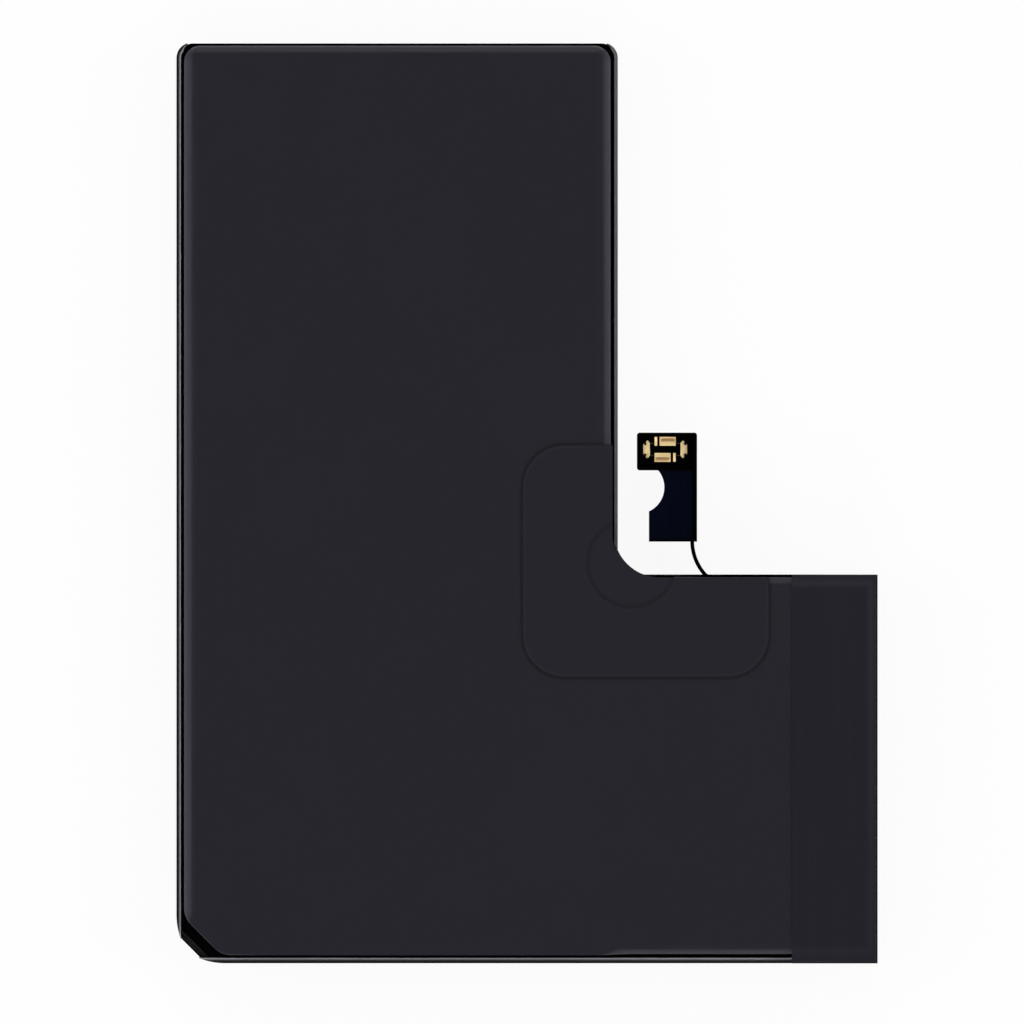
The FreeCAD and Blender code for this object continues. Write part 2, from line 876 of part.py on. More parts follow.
# Space inside a hold-down that the end wall of the plug fills. side is -1 at the left
# end and 1 at the right end.
def end_wall(side):
    outer_x = plug_x + side * (plug_length / 2 - hold_down_inset - contact_thickness)
    inner_x = outer_x - side * (hold_down_depth - contact_thickness)
    half = hold_down_length / 2 - contact_thickness
    return block(
        min(inner_x, outer_x), max(inner_x, outer_x), plug_y - half, plug_y + half,
        plug_base_top, rail_top,
    )


def make_plug_housing():
    base = slab(
        box_corners(
            plug_x - plug_length / 2, plug_x + plug_length / 2,
            plug_y - plug_width / 2, plug_y + plug_width / 2,
            plug_corner_radius,
        ),
        flex_top,
        plug_base_top,
    )
    pieces = [end_wall(-1), end_wall(1)]
    lip_length = plug_length - 2 * (hold_down_inset + hold_down_depth)
    for row in (-1, 1):
        middle_y = plug_y + row * rail_spacing / 2
        pieces.append(
            centred_block(plug_x, middle_y, rail_length, rail_width, plug_base_top, rail_top)
        )
        lip_y = middle_y - row * (rail_width - plug_lip_width) / 2
        pieces.append(
            centred_block(plug_x, lip_y, lip_length, plug_lip_width, plug_base_top, rail_top)
        )
    return base.multiFuse(pieces).removeSplitter()


# Spring strip bent over a rail, with a shallow pressed pocket towards the outside.
# row is 1 above and -1 below the middle of the plug.
def make_contact(row, middle_x, length):
    middle_y = plug_y + row * rail_spacing / 2
    width = rail_width + 2 * contact_thickness
    high = rail_top + contact_thickness
    strip = centred_block(middle_x, middle_y, length, width, plug_base_top, high)
    long_edges = [edge for edge in level_edges(strip, high) if edge.BoundBox.YLength < touch]
    strip = strip.makeFillet(contact_thickness, long_edges)
    strip = strip.cut(centred_block(middle_x, middle_y, length, rail_width, plug_base_top, rail_top))
    pocket = centred_block(
        middle_x,
        middle_y + row * contact_pocket_from_centre,
        length - 2 * contact_pocket_inset,
        contact_pocket_width,
        high - contact_pocket_depth,
        high,
    )
    return strip.cut(pocket)


# Each row holds one wide and one narrow contact, and the two rows are mirrored
def make_row_contact(row, wide):
    if wide:
        middle_x = plug_x + row * (row_length - power_contact_length) / 2
        return make_contact(row, middle_x, power_contact_length)
    middle_x = plug_x - row * (row_length - signal_contact_length) / 2
    return make_contact(row, middle_x, signal_contact_length)


# Metal bracket over the end wall of the plug, with a round tip at each end
def make_hold_down(side):
    outer_x = plug_x + side * (plug_length / 2 - hold_down_inset)
    middle_x = outer_x - side * hold_down_depth / 2
    tip_x = outer_x - side * hold_down_tip_setback
    high = rail_top + contact_thickness
    bracket = centred_block(
        middle_x, plug_y, hold_down_depth, hold_down_length, plug_base_top, high
    )
    tips = []
    for end in (-1, 1):
        tip_y = plug_y + end * hold_down_length / 2
        tips.append(post(tip_x, tip_y, hold_down_tip_radius, plug_base_top, high))
    bracket = bracket.multiFuse(tips).removeSplitter()
    bracket = bracket.cut(end_wall(side))
    for end in (-1, 1):
        notch_x = outer_x - side * 2 * hold_down_notch_radius
        notch_y = plug_y + end * (hold_down_length / 2 - contact_thickness - hold_down_notch_radius)
        bracket = bracket.cut(post(notch_x, notch_y, hold_down_notch_radius, rail_top, high))
    return bracket


places = component_places()
pieces = {
    "pouch_cell": make_pouch_cell(),
    "corner_filler": make_corner_filler(),
    "corner_patch": make_corner_patch(),
    "end_wrap": make_end_wrap(),
    "board_cover": make_board_cover(),
    "terrace_tape": make_terrace_tape(),
    "board_foam": make_board_foam(),
    "circuit_board": make_circuit_board(),
    "positive_tab": make_tab(positive_tab_y),
    "negative_tab": make_tab(negative_tab_y),
    "positive_tab_seal": make_tab_seal(positive_tab_y),
    "negative_tab_seal": make_tab_seal(negative_tab_y),
    "positive_weld_plate": make_weld_plate(positive_tab_y),
    "negative_weld_plate": make_weld_plate(negative_tab_y),
    "fuel_gauge_chip": make_chip(fuel_gauge_size, places["fuel_gauge_chip"]),
    "protection_chip": make_chip(protection_size, places["protection_chip"]),
    "charge_switch": make_chip(switch_size, places["charge_switch"]),
    "discharge_switch": make_chip(switch_size, places["discharge_switch"]),
    "sense_resistor": make_capped(
        sense_resistor_size, board_middle_x, places["sense_resistor"], False
    ),
    "chip_capacitors": make_capacitors(places["chip_capacitors"]),
    "thermistor": make_capped(thermistor_size, board_middle_x, places["thermistor"], True),
    "flex_cable": make_flex_cable(),
    "flex_side_pad": make_flex_side_pad(),
    "plug_stiffener": make_plug_stiffener(),
    "plug_gasket": make_plug_gasket(),
    "plug_housing": make_plug_housing(),
    "upper_power_contact": make_row_contact(1, True),
    "upper_signal_contact": make_row_contact(1, False),
    "lower_power_contact": make_row_contact(-1, True),
    "lower_signal_contact": make_row_contact(-1, False),
    "left_hold_down": make_hold_down(-1),
    "right_hold_down": make_hold_down(1),
}

os.makedirs("parts", exist_ok=True)
for name, shape in pieces.items():
    shape.exportStep("parts/" + name + ".step")
    print(name, len(shape.Solids), "solids", round(shape.Volume, 3), "mm3")
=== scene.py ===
import bpy
import bmesh
import math
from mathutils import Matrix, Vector


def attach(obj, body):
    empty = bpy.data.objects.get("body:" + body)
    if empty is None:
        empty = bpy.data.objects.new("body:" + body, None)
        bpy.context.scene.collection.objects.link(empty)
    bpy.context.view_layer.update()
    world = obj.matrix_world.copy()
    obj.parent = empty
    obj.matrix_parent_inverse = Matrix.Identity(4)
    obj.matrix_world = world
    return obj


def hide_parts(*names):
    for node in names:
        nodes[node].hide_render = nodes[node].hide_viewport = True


# Mobile phone battery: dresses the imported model. Sizes are millimetres unless a note
# says otherwise.
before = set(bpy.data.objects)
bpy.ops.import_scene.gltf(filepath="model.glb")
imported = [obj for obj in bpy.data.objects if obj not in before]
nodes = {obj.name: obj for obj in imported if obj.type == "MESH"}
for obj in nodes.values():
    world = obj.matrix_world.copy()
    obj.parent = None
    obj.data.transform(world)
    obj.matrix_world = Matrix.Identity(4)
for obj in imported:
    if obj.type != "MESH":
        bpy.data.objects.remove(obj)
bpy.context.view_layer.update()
mm = 0.001
near = 0.01  # two places closer together than this count as one
facing = 0.9  # a face looks along an axis when its normal has this much along it
print("frame loaded:", len(nodes), "nodes")


# Gives a place in millimetres as a vector in metres
def at(x, y, z=0.0):
    return Vector((x, y, z)) * mm


def placed(name, data):
    thing = bpy.data.objects.new(name, data)
    bpy.context.scene.collection.objects.link(thing)
    return thing


def toMesh(bm, name):
    mesh = bpy.data.meshes.new(name)
    bm.to_mesh(mesh)
    bm.free()
    return mesh


def toLinear(code):
    channels = []
    for start in (1, 3, 5):
        value = int(code[start:start + 2], 16) / 255
        channels.append(value / 12.92 if value <= 0.04045 else ((value + 0.055) / 1.055) ** 2.4)
    return (*channels, 1.0)


# Adds one node: settings are its attributes or sockets, and links feed its sockets, from a
# socket or from a node's first one
def addNode(tree, kind, settings=None, links=None):
    node = tree.nodes.new("ShaderNode" + kind)
    for key, value in (settings or {}).items():
        if isinstance(key, str) and hasattr(node, key):
            setattr(node, key, value)
        else:
            node.inputs[key].default_value = value
    for key, source in (links or {}).items():
        socket = source.outputs[0] if hasattr(source, "outputs") else source
        tree.links.new(socket, node.inputs[key])
    return node


def emptyMaterial(name):
    material = bpy.data.materials.new(name)
    material.use_nodes = True
    material.node_tree.nodes.clear()
    return material, material.node_tree


view = {
    "pixelSize": 0.09741,  # mm of the object for each pixel of the picture
    "pictureSide": 1024,
    "middle": (-1.456, -0.89),
    "focusHeight": 3.9,  # plane of the fold tops, where the scale is exact
    "lens": 600.0,
    "sensor": 36.0,
    "clip": (0.1, 10.0),  # shares of the distance
}

stage = {
    "floorColour": "#f4f4f4",
    "floorSide": 9.0,  # metres
    "floorGap": 0.02,  # under the battery, so that the faces never meet
    "whiteShare": 0.92,  # how much of the floor that the camera sees is plain white
    "horizon": 1.1,
    "zenith": 0.02,
    "dimFrom": 0.7,  # sine of the height where the world has reached its dimmest
    "lampDistance": 0.46,  # metres, as the two lengths below
    "lampLength": 0.34,
    "lampDepth": 0.26,
    "lampElevation": 23.0,
    "lampPower": 1.1,
    "topDistance": 2.0,  # metres: a small weak lamp straight above, for the metal
    "topSide": 0.4,
    "topPower": 3.0,
}


def makeCamera():
    camera = placed("photoCamera", bpy.data.cameras.new("photoCamera"))
    camera.data.lens = view["lens"]
    camera.data.sensor_width = view["sensor"]
    width = view["pixelSize"] * view["pictureSide"]
    distance = view["lens"] / view["sensor"] * width
    camera.location = at(*view["middle"], view["focusHeight"] + distance)
    camera.data.clip_start = distance * mm * view["clip"][0]
    camera.data.clip_end = distance * mm * view["clip"][1]
    bpy.context.scene.camera = camera
    bpy.context.scene.view_settings.view_transform = "Standard"


def makeFloor():
    bm = bmesh.new()
    bmesh.ops.create_grid(bm, x_segments=1, y_segments=1, size=stage["floorSide"] / 2)
    bmesh.ops.translate(bm, verts=bm.verts, vec=at(0, 0, -stage["floorGap"]))
    floor = placed("floor", toMesh(bm, "floor"))
    material, tree = emptyMaterial("matt white card")
    shade = addNode(tree, "BsdfDiffuse", {"Color": toLinear(stage["floorColour"])})
    white = addNode(tree, "Emission", {"Color": (1, 1, 1, 1), "Strength": 1.0})
    path = addNode(tree, "LightPath")
    share = addNode(
        tree, "Math", {"operation": "MULTIPLY", 1: stage["whiteShare"]},
        {0: path.outputs["Is Camera Ray"]},
    )
    mix = addNode(tree, "MixShader", {}, {0: share, 1: shade, 2: white})
    addNode(tree, "OutputMaterial", {}, {"Surface": mix})
    floor.data.materials.append(material)


# the world is bright at the horizon and dim overhead, as over a table between soft boxes
def makeWorld():
    world = bpy.data.worlds.new("studio")
    bpy.context.scene.world = world
    world.use_nodes = True
    tree = world.node_tree
    tree.nodes.clear()
    place = addNode(tree, "TexCoord")
    split = addNode(tree, "SeparateXYZ", {}, {0: place.outputs["Generated"]})
    level = addNode(
        tree, "MapRange",
        {"From Min": 0.0, "From Max": stage["dimFrom"], "To Min": stage["horizon"],
         "To Max": stage["zenith"]},
        {"Value": split.outputs["Z"]},
    )
    path = addNode(tree, "LightPath")
    seen = addNode(
        tree, "Math", {"operation": "MAXIMUM"}, {0: level, 1: path.outputs["Is Camera Ray"]}
    )
    back = addNode(tree, "Background", {"Color": (1, 1, 1, 1)}, {"Strength": seen})
    addNode(tree, "OutputWorld", {}, {"Surface": back})


def makeLamps():
    rise = math.radians(stage["lampElevation"])
    for index in range(4):  # one long soft box on each side
        turn = index * math.pi / 2
        lamp = placed("softBox" + str(index), bpy.data.lights.new("softBox" + str(index), "AREA"))
        lamp.data.shape = "RECTANGLE"
        lamp.data.size = stage["lampLength"]
        lamp.data.size_y = stage["lampDepth"]
        lamp.data.energy = stage["lampPower"]
        level = math.cos(rise)
        away = Vector((math.cos(turn) * level, math.sin(turn) * level, math.sin(rise)))
        lamp.location = away * stage["lampDistance"]
        lamp.rotation_euler = (-away).to_track_quat("-Z", "Y").to_euler()
    lamp = placed("topLamp", bpy.data.lights.new("topLamp", "AREA"))
    lamp.data.size = stage["topSide"]
    lamp.data.energy = stage["topPower"]
    lamp.location = (0, 0, stage["topDistance"])


makeCamera()
makeFloor()
makeWorld()
makeLamps()
print("camera, floor and light ready")


# Each finish: its two tones and the roughness of each, then three sizes in real millimetres,
# which are the soft patches where the tones change, the grain and the grain's depth, and
# where it has them its metal, its specular level and the tone of its tint, which whitens creases
# and paints highlights and shade
finishes = {
    "pouch_laminate": {  # satin black with a fine matt grain; its tint tone paints the highlight on the cup's shoulder and light on the web
        "name": "nylon aluminium laminate, cold drawn", "tones": ("#1f1e26", "#212028"),
        "roughness": (0.42, 0.50), "sizes": (9.0, 0.06, 0.002), "specular": 0.12,
        "wearAndPaintedLight": "#55535e",
    },
    "pouchFold": {  # the same folded over: its tint tone is whitening along the crease and the fold's painted highlight
        "name": "nylon aluminium laminate, folded seal", "tones": ("#060608", "#09090b"),
        "roughness": (0.40, 0.48), "sizes": (5.0, 0.08, 0.002), "specular": 0.1,
        "wearAndPaintedLight": "#b4b3ba",
    },
    "shadedPouchSeal": {  # its flat margin, low beside the cup: nearly black, as painted shade
        "name": "nylon aluminium laminate, heat sealed", "tones": ("#010102", "#020203"),
        "roughness": (0.40, 0.48), "sizes": (3.0, 0.10, 0.002), "specular": 0.02,
    },
    "pressedSeal": {  # where a knurled jaw has bitten: greyer and dull
        "name": "nylon aluminium laminate, knurled", "tones": ("#0b0b0d", "#121215"),
        "roughness": (0.50, 0.60), "sizes": (0.3, 0.05, 0.004), "specular": 0.1,
    },
    "sealLine": {  # inner border of that bite, and the pimples: a lighter grey
        "name": "nylon aluminium laminate, pressed edge", "tones": ("#2a2a2e", "#353539"),
        "roughness": (0.45, 0.55), "sizes": (0.4, 0.05, 0.002), "specular": 0.1,
    },
    "pouchBack": {  # flat underside of the pouch: undrawn and even
        "name": "nylon aluminium laminate, flat", "tones": ("#1f1e25", "#23222a"),
        "roughness": (0.42, 0.50), "sizes": (9.0, 0.06, 0.002), "specular": 0.12,
    },
    "patch_film": {  # on thin foam: even black
        "name": "matt polyester film, die cut", "tones": ("#1f1e26", "#201f27"),
        "roughness": (0.44, 0.52), "sizes": (7.0, 0.05, 0.0015), "specular": 0.12,
    },
    "wrap_tape": {  # a touch darker than the pouch; its tint tone is a painted highlight along the top of the slope at its edges
        "name": "black polyester tape, wrapped", "tones": ("#1b1a22", "#1c1b24"),
        "roughness": (0.44, 0.52), "sizes": (6.0, 0.07, 0.0015), "specular": 0.12,
        "wearAndPaintedLight": "#37363e",
    },
    "shadedLapTape": {  # its second turn round the sides: smooth, and nearly black as painted shade along them
        "name": "black polyester tape, lapped", "tones": ("#030304", "#050506"),
        "roughness": (0.45, 0.52), "sizes": (4.0, 0.07, 0.0015), "specular": 0.1,
    },
    "gold_plating": {  # warm and bright, with brown painted shade where a pocket is pressed in
        "name": "gold flash on copper alloy, stamped", "tones": ("#ffdd9a", "#ffe5aa"),
        "roughness": (0.27, 0.29), "sizes": (1.5, 0.10, 0.0002), "metal": 0.38,
        "wearAndPaintedLight": "#b8895a",
    },
    "foam": {  # closed cell: dull with small cells
        "name": "black polyurethane foam, cut", "tones": ("#010101", "#020203"),
        "roughness": (0.85, 0.95), "sizes": (0.6, 0.12, 0.01), "specular": 0.02,
    },
    "moulded_cover": {  # dull black with a spark-eroded grain
        "name": "glass-filled nylon, moulded", "tones": ("#131315", "#1a1a1d"),
        "roughness": (0.55, 0.65), "sizes": (2.0, 0.08, 0.006),
    },
    "insulating_tape": {  # clear amber over black, smooth
        "name": "polyimide tape, rolled", "tones": ("#8a4a12", "#9c5a1a"),
        "roughness": (0.22, 0.30), "sizes": (1.5, 0.2, 0.002),
    },
    "board_laminate": {  # black resist over a faint weave
        "name": "glass epoxy board, resist coated", "tones": ("#0d1412", "#12201b"),
        "roughness": (0.35, 0.45), "sizes": (0.4, 0.12, 0.003),
    },
    "tab_aluminium": {  # pale with a fine rolling grain
        "name": "soft aluminium strip, rolled", "tones": ("#c9cacc", "#d8d9da"),
        "roughness": (0.30, 0.42), "sizes": (1.2, 0.05, 0.002), "metal": 1.0,
    },
    "nickel": {  # warmer and duller than the aluminium
        "name": "nickel-plated copper strip, rolled", "tones": ("#b3aea4", "#c2bdb2"),
        "roughness": (0.28, 0.40), "sizes": (1.0, 0.05, 0.002), "metal": 1.0,
    },
    "seal_film": {  # milky and waxy
        "name": "polypropylene film, heat sealed", "tones": ("#b9b7ad", "#c6c4ba"),
        "roughness": (0.40, 0.50), "sizes": (0.8, 0.15, 0.004),
    },
    "chip_resin": {  # charcoal with an even spark grain
        "name": "filled epoxy, transfer moulded", "tones": ("#17171a", "#1e1e22"),
        "roughness": (0.50, 0.60), "sizes": (0.9, 0.04, 0.003),
    },
    "chip_ceramic": {  # brown grey, slightly glazed, with dipped ends
        "name": "barium titanate ceramic, fired", "tones": ("#7d6b55", "#8d7a63"),
        "roughness": (0.35, 0.45), "sizes": (0.4, 0.03, 0.002),
    },
    "flex_film": {  # over copper: blue-black and smooth
        "name": "black polyimide coverlay, laminated", "tones": ("#02081a", "#030a1e"),
        "roughness": (0.40, 0.48), "sizes": (1.4, 0.05, 0.001), "specular": 0.03,
    },
    "flexBendAndShade": {  # on edge, where only its matt black rim shows; also painted shade along the plate's lower edge
        "name": "black polyimide coverlay, bent", "tones": ("#010102", "#020203"),
        "roughness": (0.5, 0.6), "sizes": (0.9, 0.05, 0.001), "specular": 0.01,
    },
    "stiffener": {  # black with a matt skin
        "name": "glass epoxy stiffener, punched", "tones": ("#010102", "#020203"),
        "roughness": (0.50, 0.60), "sizes": (0.8, 0.06, 0.002), "specular": 0.01,
    },
    "plug_plastic": {  # deep black, faint flow marks
        "name": "liquid crystal polymer, moulded", "tones": ("#010101", "#030303"),
        "roughness": (0.45, 0.55), "sizes": (0.5, 0.04, 0.002), "specular": 0.015,
    },
    "housingRidgeSheen": {  # edge of that moulding, grey as a painted highlight
        "name": "liquid crystal polymer, painted highlight", "tones": ("#5c5a64", "#6e6c76"),
        "roughness": (0.45, 0.55), "sizes": (0.3, 0.04, 0.001), "specular": 0.1,
    },
}

texture = {
    "details": (3.0, 2.0),  # of the patches' noise and the grain's
    "toneRange": (0.3, 0.7),  # part of the noise over which one tone turns into the other
}

patch = {
    "low": (-0.45, -17.0),
    "high": (23.59, 5.66),
    "radius": 4.1,
    "edge": (0.0, 0.17, "#1a1920"),  # bands: distance from the outline, half width, tone; painted shade along the cut, then a painted highlight just inside
    "lit": (-0.27, 0.12, "#25242c"),
    "shadow": (0.08, 0.34, "#1a1920"),  # painted shadow on the laminate round the patch
    "ringMiddle": (10.18, -5.83),
    "ring": (4.27, 0.4, "#1d1c23"),  # and here the distance from the ring's middle; painted shade over the recess's edge, then a painted highlight beside it
    "ringLit": (4.69, 0.2, "#212028"),
}

winding = {
    "stretch": (3.0, 0.06, 3.0),  # lines for each mm, so they run along the tape
    "detail": 2.0,
    "range": (0.45, 0.8),
    "strength": 0.35,
    "tone": "#232229",
}


def grainedFinish(recipe):
    material, tree = emptyMaterial(recipe["name"])
    coordinate = addNode(tree, "TexCoord")
    place = addNode(
        tree, "VectorMath", {"operation": "SCALE", "Scale": 1 / mm},
        {0: coordinate.outputs["Object"]},
    )
    patchSize, grainSize, depth = recipe["sizes"]
    patches, grain = [
        addNode(tree, "TexNoise", {"Scale": 1 / size, "Detail": detail}, {0: place})
        for size, detail in zip((patchSize, grainSize), texture["details"])
    ]
    low, high = texture["toneRange"]
    tone = addNode(tree, "MapRange", {"From Min": low, "From Max": high}, {0: patches})
    first, second = [toLinear(code) for code in recipe["tones"]]
    colour = addNode(tree, "Mix", {"data_type": "RGBA", 6: first, 7: second}, {0: tone})
    low, high = recipe["roughness"]
    gloss = addNode(tree, "MapRange", {"To Min": low, "To Max": high}, {0: tone})
    bump = addNode(tree, "Bump", {"Distance": depth * mm, "Strength": 1.0}, {"Height": grain})
    surface = addNode(
        tree, "BsdfPrincipled",
        {"Metallic": recipe.get("metal", 0.0),
         "Specular IOR Level": recipe.get("specular", 0.5)},
        {"Base Color": colour.outputs[2], "Roughness": gloss, "Normal": bump},
    )
    addNode(tree, "OutputMaterial", {}, {"Surface": surface})
    return {"material": material, "tree": tree, "place": place, "surface": surface}


# lays another colour over a finish where the mask is 1
def tintWhere(finish, mask, code):
    socket = finish["surface"].inputs["Base Color"]
    mix = addNode(
        finish["tree"], "Mix", {"data_type": "RGBA", 7: toLinear(code)},
        {0: mask, 6: socket.links[0].from_socket},
    )
    finish["tree"].links.new(mix.outputs[2], socket)


# tints a band where the distance is near its middle, fading out on both sides
def tintBand(finish, distance, band):
    middle, width, code = band
    tree = finish["tree"]
    off = addNode(tree, "Math", {"operation": "SUBTRACT", 1: middle}, {0: distance})
    apart = addNode(tree, "Math", {"operation": "ABSOLUTE"}, {0: off})
    mask = addNode(
        tree, "MapRange",
        {"interpolation_type": "SMOOTHSTEP", "From Min": 0.0, "From Max": width,
         "To Min": 1.0, "To Max": 0.0},
        {0: apart},
    )
    tintWhere(finish, mask, code)


# distance in mm from the patch's outline, negative inside it
def patchDistance(finish):
    tree = finish["tree"]
    middle = [(a + b) / 2 for a, b in zip(patch["low"], patch["high"])]
    half = [(b - a) / 2 - patch["radius"] for a, b in zip(patch["low"], patch["high"])]
    past = finish["place"]
    for operation, value in (
        ("SUBTRACT", (*middle, 0)), ("ABSOLUTE", (0, 0, 0)), ("SUBTRACT", (*half, 0))
    ):
        past = addNode(tree, "VectorMath", {"operation": operation, 1: value}, {0: past})
    outside = addNode(tree, "VectorMath", {"operation": "MAXIMUM", 1: (0, 0, 0)}, {0: past})
    flat = addNode(tree, "VectorMath", {"operation": "MULTIPLY", 1: (1, 1, 0)}, {0: outside})
    reach = addNode(tree, "VectorMath", {"operation": "LENGTH"}, {0: flat})
    split = addNode(tree, "SeparateXYZ", {}, {0: past})
    larger = addNode(
        tree, "Math", {"operation": "MAXIMUM"}, {0: split.outputs["X"], 1: split.outputs["Y"]}
    )
    inside = addNode(tree, "Math", {"operation": "MINIMUM", 1: 0.0}, {0: larger})
    total = addNode(tree, "Math", {"operation": "ADD"}, {0: reach.outputs["Value"], 1: inside})
    return addNode(tree, "Math", {"operation": "SUBTRACT", 1: patch["radius"]}, {0: total})


# paints shade on the patch along its cut and over the edge of the recess, with a faint painted
# highlight beside each
def drawPatch(finish):
    tree, distance = finish["tree"], patchDistance(finish)
    tintBand(finish, distance, patch["edge"])
    tintBand(finish, distance, patch["lit"])
    away = addNode(
        tree, "VectorMath", {"operation": "SUBTRACT", 1: (*patch["ringMiddle"], 0)},
        {0: finish["place"]},
    )
    flat = addNode(tree, "VectorMath", {"operation": "MULTIPLY", 1: (1, 1, 0)}, {0: away})
    reach = addNode(tree, "VectorMath", {"operation": "LENGTH"}, {0: flat}).outputs["Value"]
    tintBand(finish, reach, patch["ring"])
    tintBand(finish, reach, patch["ringLit"])


# faint lines that unrolling leaves along the tape
def drawWinding(finish):
    tree = finish["tree"]
    stretched = addNode(
        tree, "VectorMath", {"operation": "MULTIPLY", 1: winding["stretch"]},
        {0: finish["place"]},
    )
    lines = addNode(
        tree, "TexNoise", {"Scale": 1.0, "Detail": winding["detail"]}, {0: stretched}
    )
    low, high = winding["range"]
    faint = addNode(
        tree, "MapRange",
        {"From Min": low, "From Max": high, "To Min": 0.0, "To Max": winding["strength"]},
        {0: lines},
    )
    tintWhere(finish, faint, winding["tone"])


made = {slot: grainedFinish(recipe) for slot, recipe in finishes.items()}
tintBand(made["pouch_laminate"], patchDistance(made["pouch_laminate"]), patch["shadow"])
drawPatch(made["patch_film"])
drawWinding(made["wrap_tape"])
# lays each finish's tint tone where its tint attribute says: whitening of folds, painted
# highlights and painted shade
for slot, recipe in finishes.items():
    if "wearAndPaintedLight" in recipe:
        tintLevel = addNode(made[slot]["tree"], "Attribute", {"attribute_name": "wearAndPaintedLight"})
        tintWhere(made[slot], tintLevel.outputs["Fac"], recipe["wearAndPaintedLight"])
materials = {slot: finish["material"] for slot, finish in made.items()}

for node in nodes.values():
    for place in node.material_slots:
        place.material = materials[place.material.name.split(".")[0]]
print("materials ready:", len(materials))


# Picks the vertices, edges or faces out of what an operator made
def only(made, kind):
    return [item for item in made if isinstance(item, kind)]


def outward(bm):
    bmesh.ops.recalc_face_normals(bm, faces=bm.faces)


# Draws a closed outline from moves and fills it. A move is (x, y), with a radius after it
# where the corner is round, or ("arc", x, y, degrees, steps) about a centre.
def outlineFace(start, moves, height):
    bm = bmesh.new()
    first = bm.verts.new(at(*start, height))
    last = first
    corners = []
    for move in moves:
        if move[0] != "arc":
            vert = bm.verts.new(at(*move[:2], height))
            bm.edges.new((last, vert))
            last = vert
            if len(move) > 2:
                corners.append((vert, move[2]))
        else:
            made = bmesh.ops.spin(
                bm, geom=[last], cent=at(move[1], move[2], height), axis=(0, 0, 1),
                angle=math.radians(move[3]), steps=move[4],
            )
            last = only(made["geom_last"], bmesh.types.BMVert)[0]
    bm.edges.new((last, first))
    bmesh.ops.edgeloop_fill(bm, edges=bm.edges[:])
    for vert, radius in corners:
        before, after = [edge.other_vert(vert).co - vert.co for edge in vert.link_edges]
        bmesh.ops.bevel(
            bm, geom=[vert], offset=radius * mm / math.tan(before.angle(after) / 2),
            segments=10, profile=0.5, affect="VERTICES", material=-1,
        )
    return bm


# the clockwise arc move about a centre, from one point to another
def arcMove(x, y, start, end, steps):
    first, last = [math.atan2(spot[1] - y, spot[0] - x) for spot in (start, end)]
    return ("arc", x, y, -math.degrees((first - last) % (2 * math.pi)), steps)


# half the length of a chord that passes a circle's centre at the given distance
def halfChord(radius, distance):
    return math.sqrt(radius ** 2 - distance ** 2)


def raiseFaces(bm, lift):
    made = bmesh.ops.extrude_face_region(bm, geom=bm.faces[:])["geom"]
    bmesh.ops.translate(bm, verts=only(made, bmesh.types.BMVert), vec=at(0, 0, lift))
    outward(bm)
    return bm


# rounds the sharp edges whose middle, in mm, passes the test
def roundEdges(bm, test, radius, segments, profile=0.5, sharp=0.6):
    edges = []
    for edge in bm.edges:
        middle = (edge.verts[0].co + edge.verts[1].co) / 2 / mm
        if edge.calc_face_angle(0) > sharp and test(*middle):
            edges.append(edge)
    bmesh.ops.bevel(
        bm, geom=edges, offset=radius * mm, segments=segments, profile=profile,
        affect="EDGES", material=-1,
    )
    return bm


# cuts a shape's faces along a plane, and drops what is past it where asked
def sliced(bm, spot, normal, drop=False):
    bmesh.ops.bisect_plane(
        bm, geom=bm.verts[:] + bm.edges[:] + bm.faces[:], plane_co=spot, plane_no=normal,
        clear_outer=drop,
    )
    return bm


# Carries a closed section along moves and closes both ends. Each point of the section is
# (x, y, z, tint), the tint being whitening and painted highlight. A move is (dx, dy, dz) or
# ("turn", x, y, degrees, steps).
def sweptSection(section, moves):
    bm = bmesh.new()
    wearAndPaintedLight = bm.verts.layers.float.new("wearAndPaintedLight")
    verts = []
    for x, y, z, tintLevel in section:
        vert = bm.verts.new(at(x, y, z))
        vert[wearAndPaintedLight] = tintLevel
        verts.append(vert)
    loop = [bm.edges.new((vert, verts[index - 1])) for index, vert in enumerate(verts)]
    firstLoop = loop
    for move in moves:
        if move[0] != "turn":
            made = bmesh.ops.extrude_edge_only(bm, edges=loop)["geom"]
            moved = only(made, bmesh.types.BMVert)
            bmesh.ops.translate(bm, verts=moved, vec=at(*move))
            loop = [
                edge for edge in only(made, bmesh.types.BMEdge)
                if all(vert in moved for vert in edge.verts)
            ]
        else:
            around = loop + list(dict.fromkeys(vert for edge in loop for vert in edge.verts))
            made = bmesh.ops.spin(
                bm, geom=around, cent=at(move[1], move[2]), axis=(0, 0, 1),
                angle=math.radians(move[3]), steps=move[4],
            )
            loop = only(made["geom_last"], bmesh.types.BMEdge)
    bmesh.ops.edgeloop_fill(bm, edges=firstLoop)
    bmesh.ops.edgeloop_fill(bm, edges=loop)
    outward(bm)
    return bm


def blockShape(lowX, highX, lowY, highY, lowZ, highZ):
    bm = bmesh.new()
    bmesh.ops.create_cube(bm, size=1.0)
    bmesh.ops.scale(bm, verts=bm.verts, vec=at(highX - lowX, highY - lowY, highZ - lowZ))
    middle = at((lowX + highX) / 2, (lowY + highY) / 2, (lowZ + highZ) / 2)
    bmesh.ops.translate(bm, verts=bm.verts, vec=middle)
    return bm


# puts several shapes into one, each with its own material number
def joined(shapes):
    bm = bmesh.new()
    bm.verts.layers.float.new("wearAndPaintedLight")
    for shape, number in shapes:
        for face in shape.faces:
            face.material_index = number
        mesh = toMesh(shape, "part")
        bm.from_mesh(mesh)
        bpy.data.meshes.remove(mesh)
    return bm


